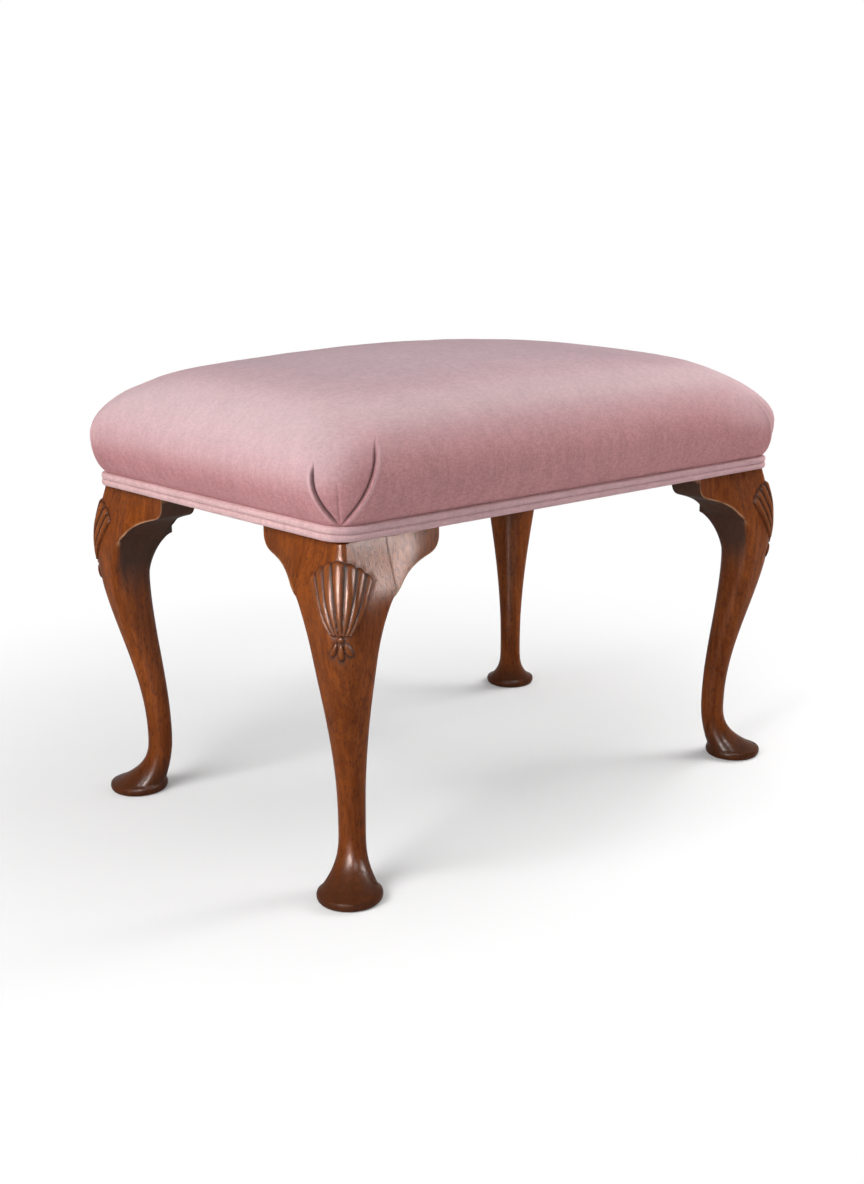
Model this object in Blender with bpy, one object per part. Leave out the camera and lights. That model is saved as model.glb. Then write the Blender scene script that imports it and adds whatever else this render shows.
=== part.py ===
"""A vanity stool with cabriole legs and an over-stuffed velvet seat.

Metres, +Z up. The origin is on the floor under the middle of the seat, X runs along the long
side and Y along the short side, and the front is towards -Y. A corner is modelled once, with
its origin under the middle of the pad foot and its x and y running inwards, and set four times.
"""

import math

import bmesh
import bpy
from mathutils import Vector

# Frame of rails and legs
FRAME_LENGTH = 0.604
FRAME_DEPTH = 0.404
LEG_HEIGHT = 0.341
RAIL_HEIGHT = 0.048
RAIL_THICKNESS = 0.024
TENON_LENGTH = 0.022
TENON_THICKNESS = 0.009
TENON_SHOULDER = 0.008
JOINT_GAP = 0.0003

# Head and knee of a leg
POST_SIZE = 0.050
FOOT_INSET = 0.0144
POST_EDGE = 0.018
HEAD_EDGE = 0.007
HEAD_STEP = 0.002
KNEE_DROP = 0.068
KNEE_SWELL = 0.0151
KNEE_FULLNESS = 1.3
ROUNDING_DROP = 0.094
HOLLOW_DROP = 0.109
HOLLOW_INNER = 0.0235
HOLLOW_FLARE = 2.2
SIDE_EASE = 0.5
INSIDE_EASE = 0.5

# Ankle and pad foot of a leg
ANKLE_LEVEL = 0.062
ANKLE_OUTER = -0.0054
ANKLE_INNER = 0.0312
SHIN_LEAN = 0.9
SHIN_SQUARE = 0.190
INSTEP_OUTER = 0.0253
INSTEP_SWEEP = 3.0
HEEL_INNER = 0.0285
PAD_RADIUS = 0.031
PAD_ROUND = 0.0035
PAD_THICKNESS = 0.0105

# Knee blocks beside each leg
BLOCK_DROP = 0.052
BLOCK_THICKNESS = 0.040
EAR_REACH = 0.0635
EAR_END = 0.0075
EAR_DROP = 0.0244
EAR_NOSE = 0.0125
EAR_SLOPE = math.radians(15.0)
TIP_WIDTH = 0.008
TIP_RISE = 0.0066
TIP_SLOPE = math.radians(48.0)
NOSE_PULLS = (0.0105, 0.0070)
CAVETTO_PULLS = (0.0200, 0.0160)

# Corner braces and their screws
BRACE_REACH = 0.058
BRACE_HEIGHT = 0.030
BRACE_RISE = 0.006
SCREW_SIDE = 0.024
SCREW_RADIUS = 0.002
SCREW_HEAD_RADIUS = 0.004
SCREW_HEAD_HEIGHT = 0.0026
SCREW_CROWN_RADIUS = 0.0028
SCREW_CROWN_HEIGHT = 0.0021
SCREW_GRIP = 0.014
SCREW_BITE = 0.016
SCREW_POINT = 0.005
COUNTERBORE_CLEARANCE = 0.0008

# Webbing, hessian and dust cover
WEB_WIDTH = 0.050
WEB_THICKNESS = 0.0016
WEB_LENGTHWAYS = 4
WEB_CROSSWAYS = 6
WEB_EDGE = 0.006
HESSIAN_THICKNESS = 0.0008
HESSIAN_EDGE = 0.006
DUST_THICKNESS = 0.0006
DUST_EDGE = 0.010
DUST_CLEARANCE = 0.0005

# Seat cover: the outline of its outer face, from the welt up to the crown
COVER_FIT = 0.0005
COVER_THICKNESS = 0.0015
TUCK_RISE = 0.0125
BULGE_RISE = 0.0055
BULGE_OUT = 0.0205
BULGE_CORNER = 0.050
SWELL_POWER = 0.8
ROLL_WIDTH = 0.068
ROLL_RISE = 0.057
ROLL_POWER = 1.63
CROWN = 0.0346

# Corner pleats of the cover
PLEAT_DEPTH = 0.0035
PLEAT_LIP = 0.0008
PLEAT_SPREAD = math.radians(28.0)
PLEAT_SPREAD_RISE = 0.041
PLEAT_DEEPEN = 0.014
PLEAT_FADE_START = 0.030
PLEAT_FADE_END = 0.064
PLEAT_CLOSED = 0.06
PLEAT_EVEN = 0.8

# Stuffing and double welt
WADDING_FIT = 0.0008
WADDING_THICKNESS = 0.008
WELT_CORD_HEIGHT = 0.0064
WELT_CORD_DEPTH = 0.0055
WELT_SEAM = 0.0011

# How finely the curved faces are divided
WELD = 0.000005
ARC_POINTS = 5
KNEE_RINGS = 4
SHIN_RINGS = 11
INSTEP_RINGS = 6
RING_CROWDING = 1.4
PAD_TURNS = (135, 90, 55, 25, 0)
NOSE_STEPS = 4
CAVETTO_STEPS = 7
FACE_POINTS = 5
SCREW_SIDES = 10
WELT_TURNS = (-75, -25, 25, 75)
SMOOTH_ANGLE = 40.0
COVER_RINGS_OUT = (3.0, 2.7, 2.35, 2.0, 1.75, 1.5, 1.32, 1.2, 1.1, 1.0, 0.66, 0.38, 0.17, 0.04, 0.0, -1.0)
COVER_RINGS_IN = (-1.0, 0.04, 0.38, 1.0, 1.2, 1.5, 2.0, 2.35, 3.0)
FOAM_RINGS = (1.2, 1.5, 2.0, 2.35, 3.0)
LONG_SIDE_SPOKES = 4
SHORT_SIDE_SPOKES = 2

# Each spoke of a corner: its place from one fold to the other (folds at -1 and 1), and its share
# of the crease's depth or of the lip's height
CREASE_SPOKES = (
    (-2.0, 0.0, 0.0),
    (-1.25, 0.0, 1.0),
    (-1.0, 1.0, 0.0),
    (-0.8, 0.35, 0.0),
    (0.0, 0.2, 0.0),
    (0.8, 0.35, 0.0),
    (1.0, 1.0, 0.0),
    (1.25, 0.0, 1.0),
    (2.0, 0.0, 0.0),
)

# Levels and places that follow from the sizes above
RAIL_TOP = LEG_HEIGHT + RAIL_HEIGHT
POST_SIDE = POST_SIZE - FOOT_INSET
RAIL_SIDE = RAIL_THICKNESS - FOOT_INSET
BRACE_MIDDLE = LEG_HEIGHT + BRACE_RISE + BRACE_HEIGHT / 2
WEB_LIFT = (WEB_THICKNESS + JOINT_GAP) / 2
WEB_LOW = RAIL_TOP + JOINT_GAP + WEB_THICKNESS / 2
WEB_TOP = WEB_LOW + 2 * WEB_LIFT + WEB_THICKNESS / 2
HESSIAN_BOTTOM = WEB_TOP + JOINT_GAP
FOAM_BOTTOM = HESSIAN_BOTTOM + HESSIAN_THICKNESS + JOINT_GAP
COVER_BOTTOM = LEG_HEIGHT + JOINT_GAP
TUCK_LEVEL = LEG_HEIGHT + TUCK_RISE
BULGE_LEVEL = RAIL_TOP + BULGE_RISE
COVER_OUT = COVER_FIT + COVER_THICKNESS
WADDING_DEPTH = COVER_THICKNESS + JOINT_GAP
FOAM_DEPTH = WADDING_DEPTH + WADDING_THICKNESS + JOINT_GAP

CORNERS = ("front_left", "front_right", "rear_right", "rear_left")
CORNER_SIGNS = ((-1, -1), (1, -1), (1, 1), (-1, 1))
RAILS = ("front", "right", "rear", "left")


def clear_scene():
    for old in list(bpy.data.objects):
        bpy.data.objects.remove(old)


def material(name, colour, roughness, metallic=0.0):
    made = bpy.data.materials.new(name)
    made.use_nodes = True
    shader = made.node_tree.nodes["Principled BSDF"]
    shader.inputs["Base Color"].default_value = (*colour, 1.0)
    shader.inputs["Roughness"].default_value = roughness
    shader.inputs["Metallic"].default_value = metallic
    made.diffuse_color = (*colour, 1.0)
    return made


def to_mesh(bm, name, surface, smooth=False):
    """The mesh of a finished bmesh, with its material and, for round pieces, smooth shading."""
    bmesh.ops.recalc_face_normals(bm, faces=bm.faces)
    mesh = bpy.data.meshes.new(name)
    bm.to_mesh(mesh)
    bm.free()
    mesh.materials.append(surface)
    if smooth:
        mesh.shade_smooth()
        mesh.set_sharp_from_angle(angle=math.radians(SMOOTH_ANGLE))
    return mesh


def add_object(name, mesh, parent=None):
    piece = bpy.data.objects.new(name, mesh)
    bpy.context.collection.objects.link(piece)
    piece.parent = parent
    return piece


def skin(columns, rows, place, wrap_rows=False):
    """A closed skin: a grid wrapped around in columns, its points laid by place(column, row)."""
    bm = bmesh.new()
    bands = rows if wrap_rows else rows - 1
    bmesh.ops.create_grid(bm, x_segments=columns, y_segments=bands, size=0.5)
    for vert in bm.verts:
        column = round((vert.co.x + 0.5) * columns) % columns
        row = round((vert.co.y + 0.5) * bands) % rows
        vert.co = place(column, row)
    bmesh.ops.remove_doubles(bm, verts=bm.verts, dist=WELD)
    open_edges = [edge for edge in bm.edges if edge.is_boundary]
    bmesh.ops.holes_fill(bm, edges=open_edges, sides=0)
    return bm


def box(low, high):
    bm = bmesh.new()
    bmesh.ops.create_cube(bm, size=1.0)
    size = Vector(high) - Vector(low)
    bmesh.ops.scale(bm, vec=size, verts=bm.verts)
    bmesh.ops.translate(bm, vec=(Vector(high) + Vector(low)) / 2, verts=bm.verts)
    return bm


def prism(outline, bottom, top):
    """A flat outline in plan, raised from one level to another."""
    bm = bmesh.new()
    corners = [bm.verts.new((x, y, bottom)) for x, y in outline]
    bmesh.ops.contextual_create(bm, geom=corners)
    raised = bmesh.ops.extrude_face_region(bm, geom=bm.faces[:])
    moved = [item for item in raised["geom"] if isinstance(item, bmesh.types.BMVert)]
    bmesh.ops.translate(bm, vec=(0.0, 0.0, top - bottom), verts=moved)
    return bm


def rod(start, end, radius, sides):
    """A round bar between two points."""
    bm = bmesh.new()
    line = Vector(end) - Vector(start)
    bmesh.ops.create_cone(
        bm, cap_ends=True, segments=sides, radius1=radius, radius2=radius, depth=line.length
    )
    turn = line.to_track_quat("Z", "Y").to_matrix()
    bmesh.ops.rotate(bm, matrix=turn, verts=bm.verts)
    bmesh.ops.translate(bm, vec=(Vector(start) + Vector(end)) / 2, verts=bm.verts)
    return bm


def cut(mesh, cutters):
    """The mesh with each cutter's shape taken out of it."""
    target = add_object("cut_target", mesh)
    for cutter in cutters:
        tool_mesh = bpy.data.meshes.new("cutter")
        bmesh.ops.recalc_face_normals(cutter, faces=cutter.faces)
        cutter.to_mesh(tool_mesh)
        cutter.free()
        tool = add_object("cutter", tool_mesh)
        tool.hide_render = True
        tool.display_type = "WIRE"
        modifier = target.modifiers.new("cut", "BOOLEAN")
        modifier.operation = "DIFFERENCE"
        modifier.solver = "EXACT"
        modifier.object = tool
    graph = bpy.context.evaluated_depsgraph_get()
    result = bpy.data.meshes.new_from_object(target.evaluated_get(graph))
    result.name = mesh.name
    for modifier in list(target.modifiers):
        bpy.data.objects.remove(modifier.object)
    bpy.data.objects.remove(target)
    return result


def blend(start, end, share):
    """A smooth change from start to end while share runs from 0 to 1."""
    share = min(max(share, 0.0), 1.0)
    return start + (end - start) * (1.0 - math.cos(math.pi * share)) / 2.0


def bezier(points, share):
    """A point on a cubic curve given by its two ends and two handles."""
    start, handle, other, end = (Vector(point) for point in points)
    rest = 1.0 - share
    return (
        start * rest**3
        + handle * 3 * rest**2 * share
        + other * 3 * rest * share**2
        + end * share**3
    )


def leg_outer(height):
    """How far the leg's two outer faces stand from the pad's middle, as on a sawing pattern."""
    knee = LEG_HEIGHT - KNEE_DROP
    if height >= LEG_HEIGHT:
        return FOOT_INSET
    if height >= knee:
        share = (LEG_HEIGHT - height) / KNEE_DROP
        return FOOT_INSET + KNEE_SWELL * math.sin(math.pi / 2 * share) ** KNEE_FULLNESS
    if height >= ANKLE_LEVEL:
        share = (knee - height) / (knee - ANKLE_LEVEL)
        return blend(FOOT_INSET + KNEE_SWELL, ANKLE_OUTER, share**SHIN_LEAN)
    share = (ANKLE_LEVEL - height) / (ANKLE_LEVEL - PAD_THICKNESS)
    return ANKLE_OUTER + (INSTEP_OUTER - ANKLE_OUTER) * share**INSTEP_SWEEP


def leg_inner(height):
    """How far the leg's two inner faces stand from the pad's middle."""
    base = LEG_HEIGHT - BLOCK_DROP
    hollow = LEG_HEIGHT - HOLLOW_DROP
    if height >= base:
        return POST_SIDE
    if height >= hollow:
        share = (height - hollow) / (base - hollow)
        return HOLLOW_INNER + (POST_SIDE - HOLLOW_INNER) * share**HOLLOW_FLARE
    if height >= ANKLE_LEVEL:
        return blend(HOLLOW_INNER, ANKLE_INNER, (hollow - height) / (hollow - ANKLE_LEVEL))
    return blend(ANKLE_INNER, HEEL_INNER, (ANKLE_LEVEL - height) / (ANKLE_LEVEL - PAD_THICKNESS))


def leg_section(height):
    """Outer and inner face and the rounding of the outer, side and inner corners at a height."""
    outer = leg_outer(height)
    inner = leg_inner(height)
    half = (outer + inner) / 2
    base = LEG_HEIGHT - BLOCK_DROP
    drop = LEG_HEIGHT - height
    if drop <= 0.0:
        return outer, inner, POST_EDGE, 0.0, 0.0
    edge = blend(HEAD_EDGE / (POST_SIZE / 2), 1.0, drop / ROUNDING_DROP)
    below = min(max(base - height, 0.0) / SHIN_SQUARE, 1.0)
    inside = min(max(base - height, 0.0) / (ROUNDING_DROP - BLOCK_DROP), 1.0)
    return outer, inner, half * edge, half * below**SIDE_EASE, half * inside**INSIDE_EASE


def pad_section(turn):
    """Height and section of the pad's rim, from the sole at 0 up and over at half a turn."""
    height = PAD_THICKNESS / 2 * (1.0 - math.cos(turn))
    radius = PAD_RADIUS - PAD_ROUND * (1.0 - math.sin(turn))
    return height, (radius, radius, radius, radius, radius)


def leg_sections():
    """All sections of a leg from the top of its post down to the sole."""
    base = LEG_HEIGHT - BLOCK_DROP
    heights = [RAIL_TOP, LEG_HEIGHT, LEG_HEIGHT - HEAD_STEP]
    heights += [LEG_HEIGHT - BLOCK_DROP * step / KNEE_RINGS for step in range(1, KNEE_RINGS + 1)]
    for step in range(1, SHIN_RINGS + 1):
        heights.append(base - (base - ANKLE_LEVEL) * (step / SHIN_RINGS) ** RING_CROWDING)
    foot = ANKLE_LEVEL - PAD_THICKNESS
    for step in range(1, INSTEP_RINGS + 1):
        heights.append(PAD_THICKNESS + foot * (1.0 - step / INSTEP_RINGS) ** RING_CROWDING)
    sections = [(height, leg_section(height)) for height in heights]
    sections += [pad_section(math.radians(turn)) for turn in PAD_TURNS]
    return sections


def leg_mesh(surface):
    sections = leg_sections()

    def place(column, row):
        height, (outer, inner, edge, side, inside) = sections[row]
        corner, step = divmod(column, ARC_POINTS)
        turn = math.radians(180 + 90 * corner + 90 * step / (ARC_POINTS - 1))
        radius = (edge, side, inside, side)[corner]
        x = (-outer + radius, inner - radius, inner - radius, -outer + radius)[corner]
        y = (-outer + radius, -outer + radius, inner - radius, inner - radius)[corner]
        return Vector((x + radius * math.cos(turn), y + radius * math.sin(turn), height))

    bm = skin(4 * ARC_POINTS, len(sections), place)
    rail_middle = RAIL_SIDE - RAIL_THICKNESS / 2
    half_mortise = TENON_THICKNESS / 2 + JOINT_GAP
    mortise_low = (POST_SIDE - TENON_LENGTH, rail_middle - half_mortise)
    mortise_high = (POST_SIDE + JOINT_GAP, rail_middle + half_mortise)
    bottom = LEG_HEIGHT + TENON_SHOULDER - JOINT_GAP
    top = RAIL_TOP - TENON_SHOULDER + JOINT_GAP
    mortises = [
        box((*mortise_low, bottom), (*mortise_high, top)),
        box((*mortise_low[::-1], bottom), (*mortise_high[::-1], top)),
    ]
    return cut(to_mesh(bm, "leg", surface, smooth=True), mortises)


def ear_outline():
    """The block's lower edge from its end to the leg: distance from the leg and drop under the rail."""
    end = Vector((EAR_REACH, EAR_END))
    turn = Vector((EAR_REACH - EAR_NOSE, EAR_DROP))
    tip = Vector((TIP_WIDTH, BLOCK_DROP - TIP_RISE))
    down = Vector((0.0, 1.0))
    inward = Vector((-math.cos(EAR_SLOPE), math.sin(EAR_SLOPE)))
    steeper = Vector((-math.cos(TIP_SLOPE), math.sin(TIP_SLOPE)))
    nose = (end, end + down * NOSE_PULLS[0], turn - inward * NOSE_PULLS[1], turn)
    cavetto = (turn, turn + inward * CAVETTO_PULLS[0], tip - steeper * CAVETTO_PULLS[1], tip)
    points = [bezier(nose, step / NOSE_STEPS) for step in range(NOSE_STEPS)]
    points += [bezier(cavetto, step / CAVETTO_STEPS) for step in range(CAVETTO_STEPS + 1)]
    points.append(Vector((JOINT_GAP, BLOCK_DROP)))
    return points


def block_mesh(surface, mirrored):
    """A knee block along x, or along y when mirrored; its face runs out of the leg into the rail's."""
    outline = ear_outline()
    top = LEG_HEIGHT - JOINT_GAP

    def place(column, row):
        along, drop = outline[row]
        bottom = LEG_HEIGHT - drop
        if column < FACE_POINTS:
            height = top + (bottom - top) * column / (FACE_POINTS - 1)
            swell = leg_outer(height) - FOOT_INSET
            across = -FOOT_INSET - swell * blend(1.0, 0.0, along / EAR_REACH)
        else:
            height = bottom if column == FACE_POINTS else top
            across = BLOCK_THICKNESS - FOOT_INSET
        point = (POST_SIDE + along, across)
        return Vector((*(point[::-1] if mirrored else point), height))

    bm = skin(FACE_POINTS + 2, len(outline), place)
    return to_mesh(bm, "knee_block", surface, smooth=True)


def rail_mesh(length, surface):
    """A rail along x between two posts, with a tenon on each end and pilot holes for the braces."""
    half = length / 2 - POST_SIZE - JOINT_GAP
    thick = RAIL_THICKNESS / 2
    bm = box((-half, -thick, LEG_HEIGHT), (half, thick, RAIL_TOP))
    cuts = (
        ((0, TENON_THICKNESS / 2, 0), (0, 1, 0)),
        ((0, -TENON_THICKNESS / 2, 0), (0, 1, 0)),
        ((0, 0, LEG_HEIGHT + TENON_SHOULDER), (0, 0, 1)),
        ((0, 0, RAIL_TOP - TENON_SHOULDER), (0, 0, 1)),
    )
    for point, normal in cuts:
        parts = bm.verts[:] + bm.edges[:] + bm.faces[:]
        bmesh.ops.bisect_plane(bm, geom=parts, plane_co=point, plane_no=normal)
    middle = (LEG_HEIGHT + RAIL_TOP) / 2
    for end in (-1, 1):
        centre = Vector((end * half, 0.0, middle))
        tenon = min(bm.faces, key=lambda face: (face.calc_center_median() - centre).length)
        drawn = bmesh.ops.extrude_face_region(bm, geom=[tenon])
        moved = [item for item in drawn["geom"] if isinstance(item, bmesh.types.BMVert)]
        bmesh.ops.translate(bm, vec=(end * (TENON_LENGTH - 2 * JOINT_GAP), 0.0, 0.0), verts=moved)
        bmesh.ops.delete(bm, geom=[tenon], context="FACES_ONLY")
    pilot_place = length / 2 - POST_SIZE - SCREW_SIDE
    pilots = []
    for end in (-1, 1):
        start = (end * pilot_place, thick + JOINT_GAP, BRACE_MIDDLE)
        bottom = (end * pilot_place, thick - SCREW_BITE - JOINT_GAP, BRACE_MIDDLE)
        pilots.append(rod(start, bottom, SCREW_RADIUS + JOINT_GAP, SCREW_SIDES))
    return cut(to_mesh(bm, "seat_rail", surface), pilots)


def brace_mesh(surface):
    """A corner brace fitted round the post, bored for one screw into each rail."""
    near = RAIL_SIDE + JOINT_GAP
    post = POST_SIDE + JOINT_GAP
    far = POST_SIDE + BRACE_REACH
    outline = ((near, post), (post, post), (post, near), (far, near), (near, far))
    bm = prism(outline, BRACE_MIDDLE - BRACE_HEIGHT / 2, BRACE_MIDDLE + BRACE_HEIGHT / 2)
    bores = []
    for mirrored in (False, True):
        place = POST_SIDE + SCREW_SIDE
        stops = (RAIL_SIDE, RAIL_SIDE + SCREW_GRIP, RAIL_SIDE + SCREW_GRIP + BRACE_REACH)
        through = [(place, stops[0] - SCREW_BITE), (place, stops[1] + JOINT_GAP)]
        counterbore = [(place, stops[1]), (place, stops[2])]
        if mirrored:
            through = [point[::-1] for point in through]
            counterbore = [point[::-1] for point in counterbore]
        wide = SCREW_HEAD_RADIUS + COUNTERBORE_CLEARANCE
        for ends, radius in ((through, SCREW_RADIUS + JOINT_GAP), (counterbore, wide)):
            bores.append(rod((*ends[0], BRACE_MIDDLE), (*ends[1], BRACE_MIDDLE), radius, SCREW_SIDES))
    return cut(to_mesh(bm, "corner_brace", surface), bores)


def screw_mesh(surface):
    """A round-headed screw along z, with the underside of its head at 0 and its point below."""
    tip = SCREW_GRIP + SCREW_BITE
    profile = (
        (0.0, SCREW_HEAD_HEIGHT),
        (SCREW_CROWN_RADIUS, SCREW_CROWN_HEIGHT),
        (SCREW_HEAD_RADIUS, JOINT_GAP),
        (SCREW_RADIUS, JOINT_GAP),
        (SCREW_RADIUS, SCREW_POINT - tip),
        (0.0, -tip),
    )

    def place(column, row):
        radius, height = profile[row]
        turn = math.tau * column / SCREW_SIDES
        return Vector((radius * math.cos(turn), radius * math.sin(turn), height))

    return to_mesh(skin(SCREW_SIDES, len(profile), place), "brace_screw", surface, smooth=True)


def web_places(count, clear):
    """Middles of a number of strips spread evenly across a clear width."""
    return [clear * ((index + 0.5) / count - 0.5) for index in range(count)]


def web_mesh(surface, length, crossings, first_over, lengthways, offset):
    """One strip from rail to rail, going over and under the strips that cross it."""
    half = length / 2 - WEB_EDGE
    stations = [(-half, 0.0)]
    for index, crossing in enumerate(crossings):
        level = 2 * WEB_LIFT if (index % 2 == 0) == first_over else 0.0
        stations += [(crossing - WEB_WIDTH / 2 - WEB_EDGE / 2, level)]
        stations += [(crossing + WEB_WIDTH / 2 + WEB_EDGE / 2, level)]
    stations.append((half, 0.0))
    section = ((-1, -1), (1, -1), (1, 1), (-1, 1))

    def place(column, row):
        along, lift = stations[row]
        side, up = section[column]
        across = offset + side * WEB_WIDTH / 2
        height = WEB_LOW + lift + up * WEB_THICKNESS / 2
        return Vector((along, across, height) if lengthways else (across, along, height))

    return to_mesh(skin(4, len(stations), place), "webbing", surface)


def dust_outline():
    """The dust cover's edge, cut out round the posts and knee blocks at each corner."""
    edge = DUST_EDGE - FOOT_INSET
    block = BLOCK_THICKNESS - FOOT_INSET + DUST_CLEARANCE
    post = POST_SIDE + DUST_CLEARANCE
    ear = POST_SIDE + EAR_REACH + DUST_CLEARANCE
    notch = ((edge, ear), (block, ear), (block, post), (post, post), (post, block), (ear, block), (ear, edge))
    outline = []
    for sign_x, sign_y in CORNER_SIGNS:
        points = [
            (sign_x * (FRAME_LENGTH / 2 - FOOT_INSET - x), sign_y * (FRAME_DEPTH / 2 - FOOT_INSET - y))
            for x, y in notch
        ]
        outline += points if sign_x * sign_y > 0 else points[::-1]
    return outline


def seat_profile(step):
    """Outset from the frame's faces and height of the cover's outer face.

    The step runs from -1 at the bottom edge to 0 where the swell starts, 1 at the bulge, 2 at the
    top of the roll and 3 along the middle of the seat.
    """
    if step <= 0.0:
        return COVER_OUT, TUCK_LEVEL + (TUCK_LEVEL - COVER_BOTTOM) * step
    if step <= 1.0:
        swell = math.sin(math.pi / 2 * step) ** SWELL_POWER
        return COVER_OUT + (BULGE_OUT - COVER_OUT) * swell, TUCK_LEVEL + (BULGE_LEVEL - TUCK_LEVEL) * step
    if step <= 2.0:
        turn = math.pi / 2 * (step - 1.0)
        inward = ROLL_WIDTH * (1.0 - max(math.cos(turn), 0.0) ** (2 / ROLL_POWER))
        return BULGE_OUT - inward, BULGE_LEVEL + ROLL_RISE * math.sin(turn) ** (2 / ROLL_POWER)
    start = BULGE_OUT - ROLL_WIDTH
    return start + (-FRAME_DEPTH / 2 - start) * (step - 2.0), BULGE_LEVEL + ROLL_RISE


def seat_normal(step):
    """Direction square to the cover's outer face: outward and upward share."""
    if step <= 0.0:
        return 1.0, 0.0
    if step >= 2.0:
        return 0.0, 1.0
    reach = min(0.01, step / 2)
    before = Vector(seat_profile(step - reach))
    after = Vector(seat_profile(step + reach))
    along = (after - before).normalized()
    return along.y, -along.x


def seat_spokes():
    """Every spoke round the seat: corner number, place in the pleat, shares of crease and lip, or side."""
    spokes = []
    for corner in range(4):
        spokes += [(corner, place, crease, lip, None) for place, crease, lip in CREASE_SPOKES]
        count = (LONG_SIDE_SPOKES, SHORT_SIDE_SPOKES)[corner % 2]
        spokes += [(corner, 2.0, 0.0, 0.0, (index + 1) / (count + 1)) for index in range(count)]
    return spokes


SPOKES = seat_spokes()


def pleat_spread(height):
    """How far the folds stand apart at a height, as a share of their widest spread."""
    if height <= TUCK_LEVEL:
        return PLEAT_EVEN
    share = min((height - TUCK_LEVEL) / PLEAT_SPREAD_RISE, 1.0)
    return max(PLEAT_CLOSED, math.sin(math.pi / 2 * share))


def pleat_depth(height):
    """How much of the crease's depth is left at a height."""
    start = TUCK_LEVEL + PLEAT_FADE_START
    end = TUCK_LEVEL + PLEAT_FADE_END
    deepened = blend(0.0, 1.0, (height - TUCK_LEVEL) / PLEAT_DEEPEN)
    return deepened * blend(1.0, 0.0, (height - start) / (end - start))


def corner_point(corner, place, half_x, half_y, radius, spread):
    """A point on a rounded corner in plan, and the direction that it faces."""
    inner_turn = PLEAT_SPREAD * spread
    turn = place * inner_turn
    if abs(place) > 1.0:
        turn = math.copysign(inner_turn + (math.pi / 4 - inner_turn) * (abs(place) - 1.0), place)
    angle = math.pi / 4 + math.pi / 2 * corner + turn
    facing = Vector((math.cos(angle), math.sin(angle), 0.0))
    sign_x, sign_y = ((1, 1), (-1, 1), (-1, -1), (1, -1))[corner]
    centre = Vector((sign_x * (half_x - radius), sign_y * (half_y - radius), 0.0))
    return centre + radius * facing, facing


def ring_point(spoke, outset, height, radius, spread):
    """A point of a ring round the seat, in plan at an outset from the frame, and its facing."""
    corner, place, _, _, side = spoke
    half_x = FRAME_LENGTH / 2 + outset
    half_y = FRAME_DEPTH / 2 + outset
    radius = min(radius, half_x, half_y)
    point, facing = corner_point(corner, place, half_x, half_y, radius, spread)
    if side is not None:
        other, _ = corner_point((corner + 1) % 4, -2.0, half_x, half_y, radius, spread)
        point = point.lerp(other, side)
    point.z = height
    return point, facing


def seat_point(spoke, step, depth, pleated):
    """A point of the seat at a depth under the cover's outer face."""
    outset, height = seat_profile(step)
    out, up = seat_normal(step)
    swell = min((outset - COVER_OUT) / (BULGE_OUT - COVER_OUT), 1.0) if step < 1.0 else 1.0
    radius = POST_EDGE + COVER_OUT + (BULGE_CORNER - POST_EDGE - COVER_OUT) * swell - depth * out
    spread = pleat_spread(height)
    point, facing = ring_point(spoke, outset - depth * out, height - depth * up, radius, spread)
    if step > 1.0:
        across = point.x / (FRAME_LENGTH / 2 + BULGE_OUT)
        along = point.y / (FRAME_DEPTH / 2 + BULGE_OUT)
        point.z += CROWN * (1 - across**2) * (1 - along**2) * blend(0.0, 1.0, step - 1.0)
    if pleated:
        sunk = (PLEAT_DEPTH * spoke[2] - PLEAT_LIP * spoke[3]) * pleat_depth(height)
        point -= sunk * (facing * out + Vector((0.0, 0.0, up)))
    return point


def seat_layer(name, rows, place, surface):
    """One layer of the seat; each four-sided face is split the short way, alike in every layer."""
    bm = skin(len(SPOKES), rows, place)
    bmesh.ops.triangulate(bm, faces=bm.faces, quad_method="SHORT_EDGE")
    return to_mesh(bm, name, surface, smooth=True)


def cover_mesh(surface):
    outer = [(step, 0.0) for step in COVER_RINGS_OUT]
    inner = [(step, COVER_THICKNESS) for step in COVER_RINGS_IN]
    rings = outer + inner

    def place(column, row):
        step, depth = rings[row]
        return seat_point(SPOKES[column], step, depth, True)

    return seat_layer("seat_cover", len(rings), place, surface)


def wadding_mesh(surface):
    """Wadding from the seat's middle down to the swell, then back up along the rails and foam."""
    outer = [step for step in reversed(COVER_RINGS_IN) if step > 0.0]
    low = seat_point(SPOKES[0], outer[-1], WADDING_DEPTH, False).z
    under = FOAM_BOTTOM - JOINT_GAP
    foam_out = BULGE_OUT - FOAM_DEPTH + JOINT_GAP
    ledges = ((WADDING_FIT, low, POST_EDGE), (WADDING_FIT, under, POST_EDGE), (foam_out, under, None))

    def place(column, row):
        spoke = SPOKES[column]
        if row < len(outer):
            return seat_point(spoke, outer[row], WADDING_DEPTH, True)
        row -= len(outer)
        if row < len(ledges):
            outset, height, edge = ledges[row]
            radius = BULGE_CORNER - FOAM_DEPTH + JOINT_GAP if edge is None else edge + outset
            return ring_point(spoke, outset, height, radius, PLEAT_EVEN)[0]
        return seat_point(spoke, FOAM_RINGS[row - len(ledges)], FOAM_DEPTH - JOINT_GAP, False)

    rows = len(outer) + len(ledges) + len(FOAM_RINGS)
    return seat_layer("wadding", rows, place, surface)


def foam_mesh(surface):
    def place(column, row):
        if row < len(FOAM_RINGS):
            return seat_point(SPOKES[column], FOAM_RINGS[-1 - row], FOAM_DEPTH, False)
        radius = BULGE_CORNER - FOAM_DEPTH
        return ring_point(SPOKES[column], BULGE_OUT - FOAM_DEPTH, FOAM_BOTTOM, radius, PLEAT_EVEN)[0]

    return seat_layer("seat_foam", len(FOAM_RINGS) + 1, place, surface)


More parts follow.
